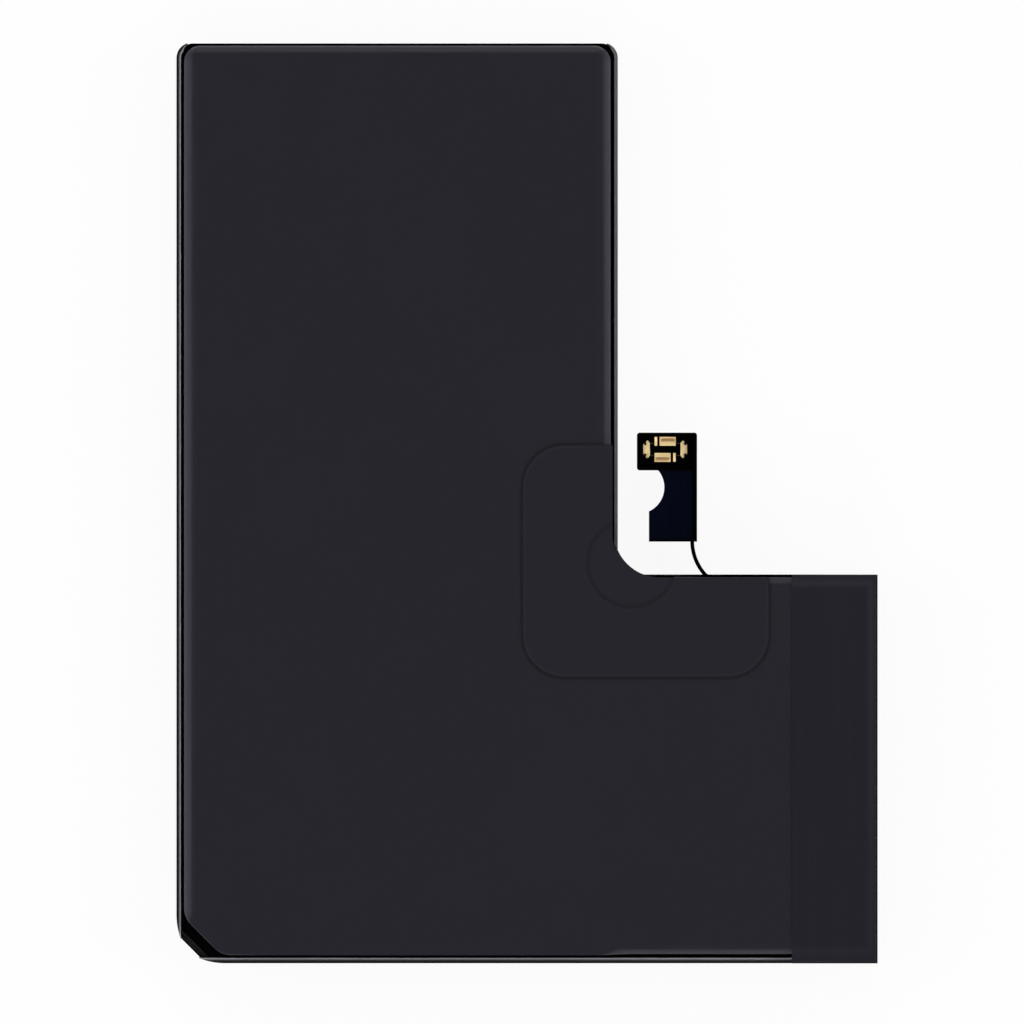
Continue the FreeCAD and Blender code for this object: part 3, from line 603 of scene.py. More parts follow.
# cuts one closed shape with another
def carved(bm, cutter, operation):
    body, tool = placed("body", toMesh(bm, "body")), placed("tool", toMesh(cutter, "tool"))
    cut = body.modifiers.new("cut", "BOOLEAN")
    cut.operation = operation
    cut.solver = "EXACT"
    cut.object = tool
    graph = bpy.context.evaluated_depsgraph_get()
    mesh = bpy.data.meshes.new_from_object(body.evaluated_get(graph))
    result = bmesh.new()
    result.from_mesh(mesh)
    for item in (body, tool):
        bpy.data.objects.remove(item)
    bpy.data.meshes.remove(mesh)
    return result


# finishes a shape as a piece of the battery
def makePiece(name, bm, looks, replaced=(), sharpAngle=38.0):
    bmesh.ops.remove_doubles(bm, verts=bm.verts, dist=1e-7)
    outward(bm)
    for face in bm.faces:
        face.smooth = True
    for edge in bm.edges:
        edge.smooth = edge.calc_face_angle(0) < math.radians(sharpAngle)
    piece = placed(name, toMesh(bm, name))
    for look in looks:
        piece.data.materials.append(materials[look])
    piece.modifiers.new("even", "WEIGHTED_NORMAL").keep_sharp = True
    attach(piece, "root")
    if replaced:
        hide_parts(*replaced)


pouch = {
    "left": -34.15,
    "bottom": -44.85,
    "stemRight": 8.85,
    "top": 44.85,
    "cupEnd": 28.0,
    "cupLow": 0.03,
    "cupHeight": 4.84,
    "leftGap": 0.737,  # from the outline to the wall of the cup
    "rightGap": 0.70,
    "lowGap": 0.815,
    "lowDrift": 0.09,  # how much wider that gap is under the foot than at the cut
    "driftEnd": (7.0, 10.5),  # where it widens
    "lowStops": (-26.0, -23.0, 6.6, 7.0, 7.4, 7.8, 8.2, 8.6, 9.0, 9.4, 10.0, 10.6),
    "lip": 0.32,
    "footWall": -7.225,
    "footOuter": -6.99,
    "footTop": 1.5,
    "shoulder": 1.5,
    "shoulderSteps": 12,
    "shoulderProfile": 0.57,  # 0.5 is a circle, more is squarer
    "topShare": 0.84,  # how much of that width the shoulder keeps along the top
    "lowShare": 0.6,  # and along the foot's lower edge
    "cutShare": 0.16,  # and along the 45 degree cut
    "sharpShare": 0.02,  # and along the lower edge beside it
    "cutEnd": (-29.0, -26.0),  # where the lower edge turns sharp after the cut
    "sharpEnd": (7.0, 9.2),  # where the lower edge turns from sharp to round
    "cutFacing": (0.08, 0.72),  # how far down a rim of the cut's side faces, from none to all
    "pullPower": 12,  # how strongly the nearest part of the rim outweighs the rest
    "leastReach": 1e-3,
    "spikeAngle": 0.6,  # radians: a narrower corner of the flat top is drawn flat
    "topDim": 0.75,  # how much dimmer the painted highlight on the shoulder is along the top
    "highlightPower": 8,  # how close to the rim the painted highlight keeps
    "highlightVeil": 0.04,  # faint painted highlight over the rest of the shoulder
    "cornerRadius": 1.57,
    "outlineRadius": 1.52,
    "cutRadius": 2.0,
    "cutLeg": 5.21,  # where the wall along the 45 degree cut would meet the outline
    "recess": (10.18, -5.83, 4.4),
    "recessSteps": 40,
    "arc": (12.95, -2.76, 4.5),
    "arcSteps": 16,
    "leafEnd": -4.61,
    "bandLeft": 25.8,
    "sheetTop": 0.3,
    "sheetInset": 0.30,  # the sheet ends inside the folds, which carry the edge round
}


def smoothStep(value, low, high):
    t = max(0.0, min(1.0, (value - low) / (high - low)))
    return t * t * (3 - 2 * t)


def cupShape():
    p = pouch
    left, low = p["left"] + p["leftGap"], p["bottom"] + p["lowGap"]
    right, high = p["stemRight"] - p["rightGap"], p["top"] - p["lip"]
    x, y, radius = p["recess"]
    foot = (x + halfChord(radius, y - p["footWall"]), p["footWall"])
    stem = (right, y + halfChord(radius, x - right))
    stops = [
        (stop, low + p["lowDrift"] * smoothStep(stop, *p["driftEnd"])) for stop in p["lowStops"]
    ]
    bm = outlineFace(
        stops[0],
        stops[1:] + [
            (p["cupEnd"], low + p["lowDrift"], p["cornerRadius"]),
            (p["cupEnd"], p["footWall"], p["cornerRadius"]),
            foot,
            arcMove(x, y, foot, stem, p["recessSteps"]),
            (right, high, p["cornerRadius"]),
            (left, high, p["cornerRadius"]),
            (left, p["bottom"] + p["cutLeg"] - p["leftGap"], p["cutRadius"]),
            (p["left"] + p["cutLeg"] - p["lowGap"], low, p["cutRadius"]),
        ],
        p["cupLow"],
    )
    raiseFaces(bm, p["cupHeight"] - p["cupLow"])
    rim = [
        [vert.co / mm for vert in edge.verts] for edge in bm.edges
        if all(vert.co.z / mm > p["cupHeight"] - near for vert in edge.verts)
    ]
    roundEdges(
        bm, lambda x, y, z: z > p["cupHeight"] - near, p["shoulder"], p["shoulderSteps"],
        p["shoulderProfile"],
    )
    return drawnShoulder(bm, rim)


# how much of the full shoulder width is kept where the rim faces the given way
def shoulderShare(outside, x):
    p = pouch
    lower = p["sharpShare"] + (p["lowShare"] - p["sharpShare"]) * smoothStep(x, *p["sharpEnd"])
    lower += (p["cutShare"] - p["sharpShare"]) * (1 - smoothStep(x, *p["cutEnd"]))
    if outside.y > 0:
        return outside.x ** 2 + p["topShare"] * outside.y ** 2
    if outside.x < 0:
        return lower + (1 - lower) * (1 - smoothStep(-outside.y, *p["cutFacing"]))
    return outside.x ** 2 + lower * outside.y ** 2


# Draws the even shoulder tighter where its share is below 1, by pulling each point towards
# the rim beside it, and paints a highlight on the shoulder, strongest at the rim
def drawnShoulder(bm, rim):
    p = pouch
    wearAndPaintedLight = bm.verts.layers.float.new("wearAndPaintedLight")
    for vert in bm.verts:
        spot = vert.co / mm
        if spot.z < p["cupHeight"] - p["shoulder"] - near:
            continue
        closest, total, pull, lit = p["shoulder"], 0.0, Vector(), 0.0
        for start, end in rim:
            along = end - start
            place = max(0.0, min(1.0, (spot - start).dot(along) / along.length_squared))
            foot = start + along * place
            reach = max(p["leastReach"], (Vector((spot.x, spot.y, p["cupHeight"])) - foot).length)
            outside = Vector((along.y, -along.x, 0)).normalized()
            if outside.dot(spot - foot) > 0:
                outside = -outside
            share = shoulderShare(outside, foot.x)
            weight = reach ** -p["pullPower"]
            total += weight
            pull += (spot - foot) * (share - 1) * weight
            lit += share * (1 - p["topDim"] * max(0.0, outside.y)) * weight
            closest = min(closest, reach)
        vert.co = (spot + pull / total) * mm
        bend = 1 - closest / p["shoulder"]
        white = bend ** p["highlightPower"] + p["highlightVeil"] * min(1.0, bend * p["highlightPower"])
        vert[wearAndPaintedLight] = lit / total * white
    for loop in max(bm.faces, key=lambda face: face.calc_area() * face.normal.z).loops:
        spot = loop.vert.co
        before, after = loop.link_loop_prev.vert.co, loop.link_loop_next.vert.co
        if (before - spot).angle(after - spot) < p["spikeAngle"]:
            loop.vert.co = (before + after) / 2
    return bm


# outline of the laminate's lower left corner, which sweeps in before the 45 degree cut
corner = {
    "sweepRun": 2.51,
    "sweepDepth": 0.48,
    "cut": 2.73,
    "steps": 10,
    "sheetSteps": 4,
    "beside": 1.0,  # how far the block that keeps the rest stands out of the battery
    "beyond": 100.0,  # and on the sides where it only has to be large
}
corner["radius"] = (corner["sweepRun"] ** 2 / corner["sweepDepth"] + corner["sweepDepth"]) / 2
corner["far"] = corner["cut"] - corner["sweepDepth"]
corner["start"] = corner["far"] + corner["sweepRun"]

fold = {
    "leftThickness": 0.44,
    "rightThickness": 0.35,
    "lowThickness": 0.535,
    "height": 3.75,
    "root": 0.24,
    "rootAngles": (math.pi / 2, 1.05, 0.52, 0.0),  # radians: steps of the rounded foot
    "peak": 0.11,  # from the outer face to the sharp top of the crease
    "slope": 0.05,  # how far the top falls towards the cup
    # whitening and painted highlight along the crease: outer face, peak, middle of the top and
    # inner corner
    "leftCrease": (0.0, 0.0, 0.09, 1.0),
    "rightCrease": (0.15, 0.24, 0.37, 0.36),
    "lowCrease": (0.0, 0.0, 0.08, 1.0),
    "middle": 0.55,  # where that middle is, as a share of the thickness
    "innerRound": 0.03,
    "before": 3.0,  # how far into the corner the left and lower folds start, to be cut off
    "turn": 72.0,  # degrees that the fold follows round a top corner
    "turnSteps": 14,
    "wrapInset": (0.02, 0.07),  # the lower fold steps in under the wrap: run and depth
    "tail": (0.75, 0.42),  # the right fold thins to this share over its last millimetres
    "thinFrom": 0.45,  # round a top corner the folds thin, from this share of the turn
    "thinTo": 0.3,
    # where the web between that fold and the wall is drawn up, and how high
    "web": (
        (8.10, -3.0), (8.20, -3.2), (8.34, -3.6), (8.50, -4.0), (8.64, -4.4), (8.70, -4.61),
        (8.10, -4.61),
    ),
    "webLow": 0.1,
    "webTop": 3.7,
    # painted light on the web, against the shade beside the wall
    "webCrease": 0.2,
    "webFoot": 0.02,  # clearance of the flat piece under the web
}


# Section of a fold, given by how far each point lies in from the outer face
def foldSection(place, side):
    f = fold
    thickness, wearAndPaintedLight = f[side + "Thickness"], f[side + "Crease"]
    inner = f["height"] - f["slope"]
    points = [
        (f["root"] * (1 - math.sin(angle)), f["root"] * (1 - math.cos(angle)), 0.0)
        for angle in f["rootAngles"]
    ]
    points += [
        (thickness - 0.04, 0.0, 0.0),
        (thickness, 0.05, 0.0),
        (thickness, inner - 0.12, 0.0),
        (thickness, inner - 0.04, wearAndPaintedLight[3] * 0.6),
        (thickness - f["innerRound"], inner, wearAndPaintedLight[3]),
        (thickness * f["middle"], f["height"] - f["slope"] * 0.36, wearAndPaintedLight[2]),
        (f["peak"], f["height"], wearAndPaintedLight[1]),
        (0.02, f["height"] - 0.02, wearAndPaintedLight[0]),
        (0.0, f["height"] - 0.08, 0.0),
    ]
    return [(*place(inward), z, tintLevel) for inward, z, tintLevel in points]


# thins a fold on its way round a top corner
def thinned(bm, x, y):
    f, radius = fold, pouch["outlineRadius"]
    for vert in bm.verts:
        away = vert.co / mm - Vector((x, y, 0))
        if away.y > near:
            flat = Vector((away.x, away.y, 0))
            turned = math.degrees(math.atan2(away.y, abs(away.x))) / f["turn"]
            share = 1 - (1 - f["thinTo"]) * smoothStep(turned, f["thinFrom"], 1.0)
            moved = flat.normalized() * (radius - (radius - flat.length) * share)
            vert.co = at(x + moved.x, y + moved.y, away.z)


# cuts a fold at the swept corner, and sets its whitening and painted highlight again, which the
# cut leaves out
def cornered(bm, side, depth):
    f = fold
    bm = carved(bm, cornerKeeper(), "INTERSECT")
    wearAndPaintedLight = bm.verts.layers.float.get("wearAndPaintedLight")
    thickness = f[side + "Thickness"]
    stops = (0.0, f["peak"], thickness * f["middle"], thickness - f["innerRound"])
    for vert in bm.verts:
        x, y, z = vert.co / mm
        if z < f["height"] - f["slope"] - near or y > pouch["top"] - f["before"]:
            continue
        inward = min(depth(x, y), stops[3])
        for index in range(3):
            if inward <= stops[index + 1]:
                share = (inward - stops[index]) / (stops[index + 1] - stops[index])
                low, high = f[side + "Crease"][index:index + 2]
                vert[wearAndPaintedLight] = low + (high - low) * max(0.0, share)
                break
    return bm


# block that keeps what lies inside the swept corner
def cornerKeeper():
    c = corner
    x, y, beside, beyond = pouch["left"], pouch["bottom"], c["beside"], c["beyond"]
    turn = math.degrees(math.asin(c["sweepRun"] / c["radius"]))
    bm = outlineFace(
        (x + beyond, y - beside),
        [
            (x + beyond, y + beyond),
            (x - beside, y + beyond),
            (x - beside, y + c["start"]),
            (x, y + c["start"]),
            ("arc", x + c["radius"], y + c["start"], turn, c["steps"]),
            (x + c["far"], y + c["sweepDepth"]),
            ("arc", x + c["start"], y + c["radius"], turn, c["steps"]),
            (x + c["start"], y - beside),
        ],
        -beside,
    )
    return raiseFaces(bm, 2 * beside + pouch["cupHeight"])


def foldShapes():
    p, f = pouch, fold
    turnY = p["top"] - p["outlineRadius"]
    turnX = (p["left"] + p["outlineRadius"], p["stemRight"] - p["outlineRadius"])
    lowX, lowY = [p[side] + corner["start"] - f["before"] for side in ("left", "bottom")]
    left = sweptSection(
        foldSection(lambda inward: (p["left"] + inward, lowY), "left"),
        [(0, turnY - lowY, 0), ("turn", turnX[0], turnY, -f["turn"], f["turnSteps"])],
    )
    right = sweptSection(
        foldSection(lambda inward: (p["stemRight"] - inward, p["leafEnd"]), "right"),
        [
            (0, f["tail"][0], 0),
            (0, turnY - p["leafEnd"] - f["tail"][0], 0),
            ("turn", turnX[1], turnY, f["turn"], f["turnSteps"]),
        ],
    )
    thinned(left, turnX[0], turnY)
    thinned(right, turnX[1], turnY)
    for vert in right.verts:
        if vert.co.y / mm < p["leafEnd"] + near:
            vert.co.x = (p["stemRight"] - (p["stemRight"] - vert.co.x / mm) * f["tail"][1]) * mm
    run, depth = f["wrapInset"]
    low = sweptSection(
        foldSection(lambda inward: (lowX, p["bottom"] + inward), "low"),
        [
            (p["bandLeft"] - lowX, 0, 0),
            (run, depth, 0),
            (p["cupEnd"] - p["bandLeft"] - run, 0, 0),
        ],
    )
    return [
        cornered(left, "left", lambda x, y: x - p["left"]), right,
        cornered(low, "low", lambda x, y: y - p["bottom"]),
    ]


def sheetShape():
    p, c = pouch, corner
    inset = p["sheetInset"]
    left, low, right = p["left"] + inset, p["bottom"] + inset, p["stemRight"] - inset
    sink = halfChord(c["radius"], c["radius"] - inset)
    turn = math.degrees(math.asin(c["sweepRun"] / c["radius"]) - math.asin(sink / c["radius"]))
    x, y, radius = p["arc"]
    foot = (x - halfChord(radius, y - p["footOuter"]), p["footOuter"])
    stem = (right, y - halfChord(radius, x - right))
    bm = outlineFace(
        (p["cupEnd"], low),
        [
            (p["cupEnd"], p["footOuter"]),
            foot,
            arcMove(x, y, foot, stem, p["arcSteps"]),
            (right, p["top"], p["outlineRadius"] - inset),
            (left, p["top"], p["outlineRadius"] - inset),
            (left, p["bottom"] + c["start"] - sink),
            ("arc", p["left"] + c["radius"], p["bottom"] + c["start"], turn, c["sheetSteps"]),
            (p["left"] + c["far"], p["bottom"] + c["sweepDepth"]),
            ("arc", p["left"] + c["start"], p["bottom"] + c["radius"], turn, c["sheetSteps"]),
        ],
        0.0,
    )
    return raiseFaces(bm, p["sheetTop"])


tight = {
    "width": 0.07,  # thickness of the margin that stands up along the foot
    "start": 0.7,  # where it starts, from the end of the inner arc
    "sunk": 0.1,  # in the flat sheet
    "round": 0.04,
    "steps": 3,
    # whitening and painted highlight along the tight margin
    "wearAndPaintedLight": 0.12,
}


# the margin along the foot's upper edge stands tight against the wall of the cup
def tightShape():
    p, t = pouch, tight
    x, y, radius = p["arc"]
    startX = x - halfChord(radius, y - p["footOuter"])
    bm = outlineFace(
        (startX, p["footOuter"]),
        [
            (p["cupEnd"], p["footOuter"]),
            (p["cupEnd"], p["footOuter"] - t["width"]),
            (startX + t["start"], p["footOuter"] - t["width"]),
        ],
        p["sheetTop"] - t["sunk"],
    )
    raiseFaces(bm, p["footTop"] - p["sheetTop"] + t["sunk"])
    tintedEvenly(bm, t["wearAndPaintedLight"])
    return roundEdges(
        bm, lambda x, y, z: z > p["footTop"] - near and y > p["footOuter"] - near,
        t["round"], t["steps"],
    )


def tintedEvenly(bm, tintLevel):
    wearAndPaintedLight = bm.verts.layers.float.new("wearAndPaintedLight")
    for vert in bm.verts:
        vert[wearAndPaintedLight] = tintLevel


band = {
    "start": 0.14,  # from the cut edge
    "end": 0.60,
    "line": 0.09,  # width of the bright line along the inner side
    "overlap": 0.01,
    "clear": 0.02,
    "rise": 0.02,
    "sunk": 0.05,
    "pitch": 0.22,
    "rows": 2,
    "dot": 0.06,
    "dotFlat": 0.6,
}


# Pressed band beside the 45 degree cut: rows of small flat pimples on a raised strip
def pressedBand():
    p, c, b = pouch, corner, band
    leftX = p["left"] + fold["leftThickness"] + b["clear"]
    lowY = p["bottom"] + fold["lowThickness"] + b["clear"]
    inner = b["end"] - b["line"]

    def ends(depth):
        reach = p["left"] + p["bottom"] + c["cut"] + depth * math.sqrt(2)
        return Vector((leftX, reach - leftX, 0)), Vector((reach - lowY, lowY, 0))

    shapes = []
    for number, sides in ((1, (b["start"], inner - b["overlap"])), (2, (inner, b["end"]))):
        (first, second), (fourth, third) = [ends(depth) for depth in sides]
        moves = [spot.xy for spot in (second, third, fourth)]
        strip = outlineFace(first.xy, moves, p["sheetTop"] - b["sunk"])
        shapes.append((raiseFaces(strip, b["sunk"] + b["rise"] * number), number))
    for row in range(b["rows"]):
        start, stop = ends(b["start"] + (inner - b["start"]) * (row + 0.5) / b["rows"])
        count = int((stop - start).length / b["pitch"]) - 1
        for index in range(count):
            spot = start + (stop - start) * (index + 1 - 0.5 * (row % 2)) / count
            dot = bmesh.new()
            bmesh.ops.create_uvsphere(dot, u_segments=10, v_segments=6, radius=b["dot"] * mm)
            bmesh.ops.scale(dot, verts=dot.verts, vec=(1, 1, b["dotFlat"]))
            place = at(spot.x, spot.y, p["sheetTop"] + b["rise"])
            bmesh.ops.translate(dot, verts=dot.verts, vec=place)
            shapes.append((dot, 2))
    return shapes


def makePouch():
    p, f = pouch, fold
    makePiece("drawnCup", cupShape(), ["pouch_laminate"], ["pouch_cell"])
    web = outlineFace(f["web"][0], f["web"][1:], f["webLow"])
    raiseFaces(web, f["webTop"] - f["webLow"])
    # the web is tinted lighter: painted light
    tintedEvenly(web, f["webCrease"])
    foot = blockShape(
        f["web"][0][0], p["stemRight"] - f["webFoot"], p["leafEnd"], f["web"][0][1],
        f["webFoot"], p["sheetTop"] - near,
    )
    left, right, low = foldShapes()
    folds = joined([(left, 0), (right, 0), (low, 0), (web, 1), (foot, 0), (tightShape(), 0)])
    makePiece("sealFolds", folds, ["pouchFold", "pouch_laminate"])
    # the sheet's top takes the nearly black seal finish, painted shade low beside the cup; its
    # underside takes the flat back
    margins = joined([(sheetShape(), 0)] + pressedBand())
    outward(margins)
    for face in margins.faces:
        if face.normal.z < -facing and face.calc_center_median().z / mm < near:
            face.material_index = 3
    makePiece(
        "sealedSheet", margins, ["shadedPouchSeal", "pressedSeal", "sealLine", "pouchBack"],
    )


makePouch()
print("pouch ready")


wrap = {
    "right": 34.15,
    "top": 4.9,
    "footTop": -6.995,
    "film": 0.06,
    "inset": 0.145,  # the upper turn of the film stands in from the lap round the sides
    "topInset": 0.03,  # and here at the foot's upper edge
    "lapLow": 0.3,
    "lapTop": 4.25,
    "lapThickness": 0.08,
    "past": 3.0,  # how far past its open end the film is first drawn
    "around": 5.0,  # and how far the block that cuts the lap there stands out
    "slopeWidth": 0.78,  # the film slopes down to its right edge from this far in
    "slopeMore": (0.60, 0.28),  # and from this much further along its lower and upper edge
    "lowRise": 0.05,  # how much less it has dropped along the lower edge
    "ridgeHighlight": (0.16, 0.32),  # painted highlight on the top of that slope, on its lower and other sides
    "slopeDrop": 0.08,
    "ridgeFade": 0.75,
    "edge": (0.06, 5),  # radius and steps of the rounded edge
    "panelStart": 28.0,  # the film closes the underside from here to the end
}


# Closed film tube, drawn wide at its open end so that the rings stay parallel to the edges
def wrapTop():
    p, w = pouch, wrap
    edgeTop = w["top"] - w["slopeDrop"]
    bm = blockShape(
        p["bandLeft"] - w["past"], w["right"] - w["inset"], p["bottom"] + w["inset"],
        w["footTop"] - w["topInset"], 0.0, edgeTop,
    )
    wearAndPaintedLight = bm.verts.layers.float.new("wearAndPaintedLight")
    upper = [face for face in bm.faces if face.normal.z > facing]
    bmesh.ops.inset_region(bm, faces=upper, thickness=w["slopeWidth"] * mm)
    for vert in bm.verts:
        if vert.co.z > 0 and vert.co.y / mm < p["bottom"] + w["inset"] + near:
            vert.co.z += w["lowRise"] * mm
    bmesh.ops.translate(bm, verts=upper[0].verts[:], vec=at(0, 0, w["slopeDrop"]))
    # painted highlight along the top of the slope, faded out further in below
    for vert in upper[0].verts:
        lower = vert.co.y < upper[0].calc_center_median().y
        vert[wearAndPaintedLight] = w["ridgeHighlight"][0 if lower else 1]
        vert.co.y += (w["slopeMore"][0] if lower else -w["slopeMore"][1]) * mm
    bmesh.ops.inset_region(bm, faces=upper, thickness=w["ridgeFade"] * mm)
    for vert in upper[0].verts:
        vert[wearAndPaintedLight] = 0.0
    roundEdges(bm, lambda x, y, z: edgeTop - near < z < w["top"] - near, *w["edge"])
    return sliced(bm, at(p["bandLeft"], 0), (-1, 0, 0), True)


# the second turn of tape round the three sides, ending below the top
def wrapLap():
    p, w = pouch, wrap
    bm = blockShape(
        p["bandLeft"] - w["past"], w["right"], p["bottom"], w["footTop"], w["lapLow"],
        w["lapTop"],
    )
    ends = [face for face in bm.faces if abs(face.normal.z) > facing]
    bmesh.ops.delete(bm, geom=ends, context="FACES_ONLY")
    bmesh.ops.solidify(bm, geom=bm.faces[:], thickness=w["lapThickness"] * mm)
    cutter = blockShape(
        0, p["bandLeft"], p["bottom"] - w["around"], w["footTop"] + w["around"],
        -w["around"], w["lapTop"] + w["around"],
    )
    return carved(bm, cutter, "DIFFERENCE")


def makeWrap():
    p, w = pouch, wrap
    bm = sliced(wrapTop(), at(w["panelStart"], 0), (1, 0, 0))
    opened = []
    for face in bm.faces:
        middle = face.calc_center_median() / mm
        if middle.x < p["bandLeft"] + near or (middle.z < near and middle.x < w["panelStart"]):
            opened.append(face)
    bmesh.ops.delete(bm, geom=opened, context="FACES")
    outward(bm)
    bmesh.ops.solidify(bm, geom=bm.faces[:], thickness=w["film"] * mm)
    # the lap is nearly black: painted shade along the battery's sides
    bm = joined([(bm, 0), (wrapLap(), 1)])
    makePiece("foldedWrap", bm, ["wrap_tape", "shadedLapTape"], ["end_wrap"])


makeWrap()
print("end wrap ready")


flex = {
    "low": 1.65,
    "thickness": 0.25,
    "top": 3.75,
    "foldInner": 0.12,
    "foldSteps": 6,
    "armX": 16.31,
    "baseY": -3.78,
    "rim": 0.2,  # painted shade: the plate is dark this far in from its lower edge
    "headTop": 6.85,
    "headBottom": 3.17,
    "headLeft": 10.73,
    "headRadius": 0.27,
    "wingLeft": 11.90,
    "bite": (10.82, 1.52, 2.58),
    "biteSteps": 28,
    "ribbonStart": 28.9,
    "ribbonWall": -7.165,
    "ribbonThickness": 0.36,
    "edgeRound": 0.04,
    "tightCentre": (17.790, -6.565),
    "wideCentre": (20.97, -3.73),
    "meeting": 41.72,  # degrees of the wide bend
    "bendSteps": (10, 24),
    "root": (29.2, 32.2, -11.61),
    "padRight": 16.57,
    "padCorner": 0.27,
    "padSteps": 10,
    "padPast": 0.2,  # how far the block that cuts the pad's corner stands out
    "traces": (13.85, 14.72, 15.55),
    "traceEnds": (0.25, 0.05),  # from the plate's lower edge and from the head
    "traceHeight": 0.016,
    "traceWidth": 0.56,
    "traceFlat": 0.8,  # share of that width that is level
}


# folds one side of a flat plate up round a hinge and carries it on to the full height
def foldedUp(bm, picks, hinge, axis, degrees):
    face = [item for item in bm.faces if picks(item)][0]
    made = bmesh.ops.spin(
        bm, geom=[face] + face.edges[:] + face.verts[:], cent=hinge, axis=axis,
        angle=math.radians(degrees), steps=flex["foldSteps"],
    )
    last = only(made["geom_last"], bmesh.types.BMFace)
    grown = bmesh.ops.extrude_face_region(bm, geom=last)["geom"]
    lift = at(0, 0, flex["top"] - hinge.z / mm)
    bmesh.ops.translate(bm, verts=only(grown, bmesh.types.BMVert), vec=lift)
    bmesh.ops.delete(bm, geom=last, context="FACES_ONLY")
    outward(bm)
    return bm


# middle of a fold's bend, from the wall that stands up after it, and the bend's own height
def hingeOf(wall):
    side = wall + flex["thickness"] / 2 - flex["foldInner"] - flex["thickness"]
    return side, flex["low"] + flex["thickness"] + flex["foldInner"]


def wingShape():
    f = flex
    x, y, radius = f["bite"]
    hingeX, hingeZ = hingeOf(f["armX"])
    start = (x + halfChord(radius, f["headBottom"] - y), f["headBottom"])
    end = (f["wingLeft"], y - halfChord(radius, f["wingLeft"] - x))
    bm = outlineFace(
        (hingeX, f["baseY"]),
        [
            (hingeX, f["headTop"]),
            (f["headLeft"], f["headTop"], f["headRadius"]),
            (f["headLeft"], f["headBottom"], f["headRadius"]),
            start,
            arcMove(x, y, start, end, f["biteSteps"]),
            (f["wingLeft"], f["baseY"]),
        ],
        f["low"],
    )
    raiseFaces(bm, f["thickness"])
    foldedUp(bm, lambda face: face.normal.x > facing, at(hingeX, 0, hingeZ), (0, 1, 0), -90)
    for level in (f["baseY"] + f["rim"], f["headBottom"]):
        sliced(bm, at(0, level), (0, 1, 0))
    return carved(bm, padCutter(), "DIFFERENCE")


# what the rounded upper corner of the foam pad leaves out
def padCutter():
    f = flex
    right, top, radius, past = f["padRight"], f["headTop"], f["padCorner"], f["padPast"]
    bm = outlineFace(
        (right - radius, top + past),
        [
            (right - radius, top),
            ("arc", right - radius, top - radius, -90, f["padSteps"]),
            (right + past, top - radius),
            (right + past, top + past),
        ],
        f["low"] - past,
    )
    return raiseFaces(bm, f["top"] - f["low"] + 2 * past)


def padShape():
    f = flex
    inner = f["armX"] + f["thickness"] / 2
    bm = blockShape(inner, f["padRight"], f["baseY"], f["headTop"], f["low"], f["top"])
    return carved(bm, padCutter(), "DIFFERENCE")


def rootShape():
    f = flex
    lowX, highX, lowY = f["root"]
    hingeY, hingeZ = hingeOf(f["ribbonWall"])
    bm = blockShape(lowX, highX, lowY, hingeY, f["low"], f["low"] + f["thickness"])
    return foldedUp(bm, lambda face: face.normal.y > facing, at(0, hingeY, hingeZ), (1, 0, 0), 90)


def ribbonShape():
    f = flex
    half, small, low, top = f["ribbonThickness"] / 2, f["edgeRound"], f["low"], f["top"]
    corners = [
        (-half, low + small), (-half + small, low), (half - small, low), (half, low + small),
        (half, top - small), (half - small, top), (-half + small, top), (-half, top - small),
    ]
    section = [(f["ribbonStart"], f["ribbonWall"] + y, z, 0.0) for y, z in corners]
    return sweptSection(section, [
        (f["tightCentre"][0] - f["ribbonStart"], 0, 0),
        ("turn", *f["tightCentre"], f["meeting"] - 90, f["bendSteps"][0]),
        ("turn", *f["wideCentre"], -f["meeting"], f["bendSteps"][1]),
    ])


# copper under the coverlay, which shows as a low flat ridge
def traceShape(x):
    f = flex
    half, top, rise = f["traceWidth"] / 2, f["low"] + f["thickness"], f["traceHeight"]
    level, startY = half * f["traceFlat"], f["baseY"] + f["traceEnds"][0]
    arch = [
        (-half, -rise), (-half, 0), (-level, rise), (level, rise), (half, 0), (half, -rise),
    ]
    section = [(x + side, startY, top + z, 0.0) for side, z in arch]
    return sweptSection(section, [(0, f["headBottom"] - f["traceEnds"][1] - startY, 0)])


def makeFlex():
    f = flex
    shapes = [(wingShape(), 0), (rootShape(), 0), (ribbonShape(), 1)]
    bm = joined(shapes + [(traceShape(x), 0) for x in f["traces"]])
    # standing faces, the head and a strip along the plate's lower edge take the near-black
    # finish, that strip as painted shade
    for face in bm.faces:
        x, y, z = face.calc_center_median() / mm
        standing = z > f["low"] + f["thickness"] + 2 * near
        plain = f["baseY"] + f["rim"] < y < f["headBottom"] or y < f["ribbonWall"]
        face.material_index = 1 if standing or not plain else 0
    makePiece("flexTail", bm, ["flex_film", "flexBendAndShade"], ["flex_cable"])
    makePiece("sidePad", padShape(), ["foam"], ["flex_side_pad"])


makeFlex()
print("flex tail ready")


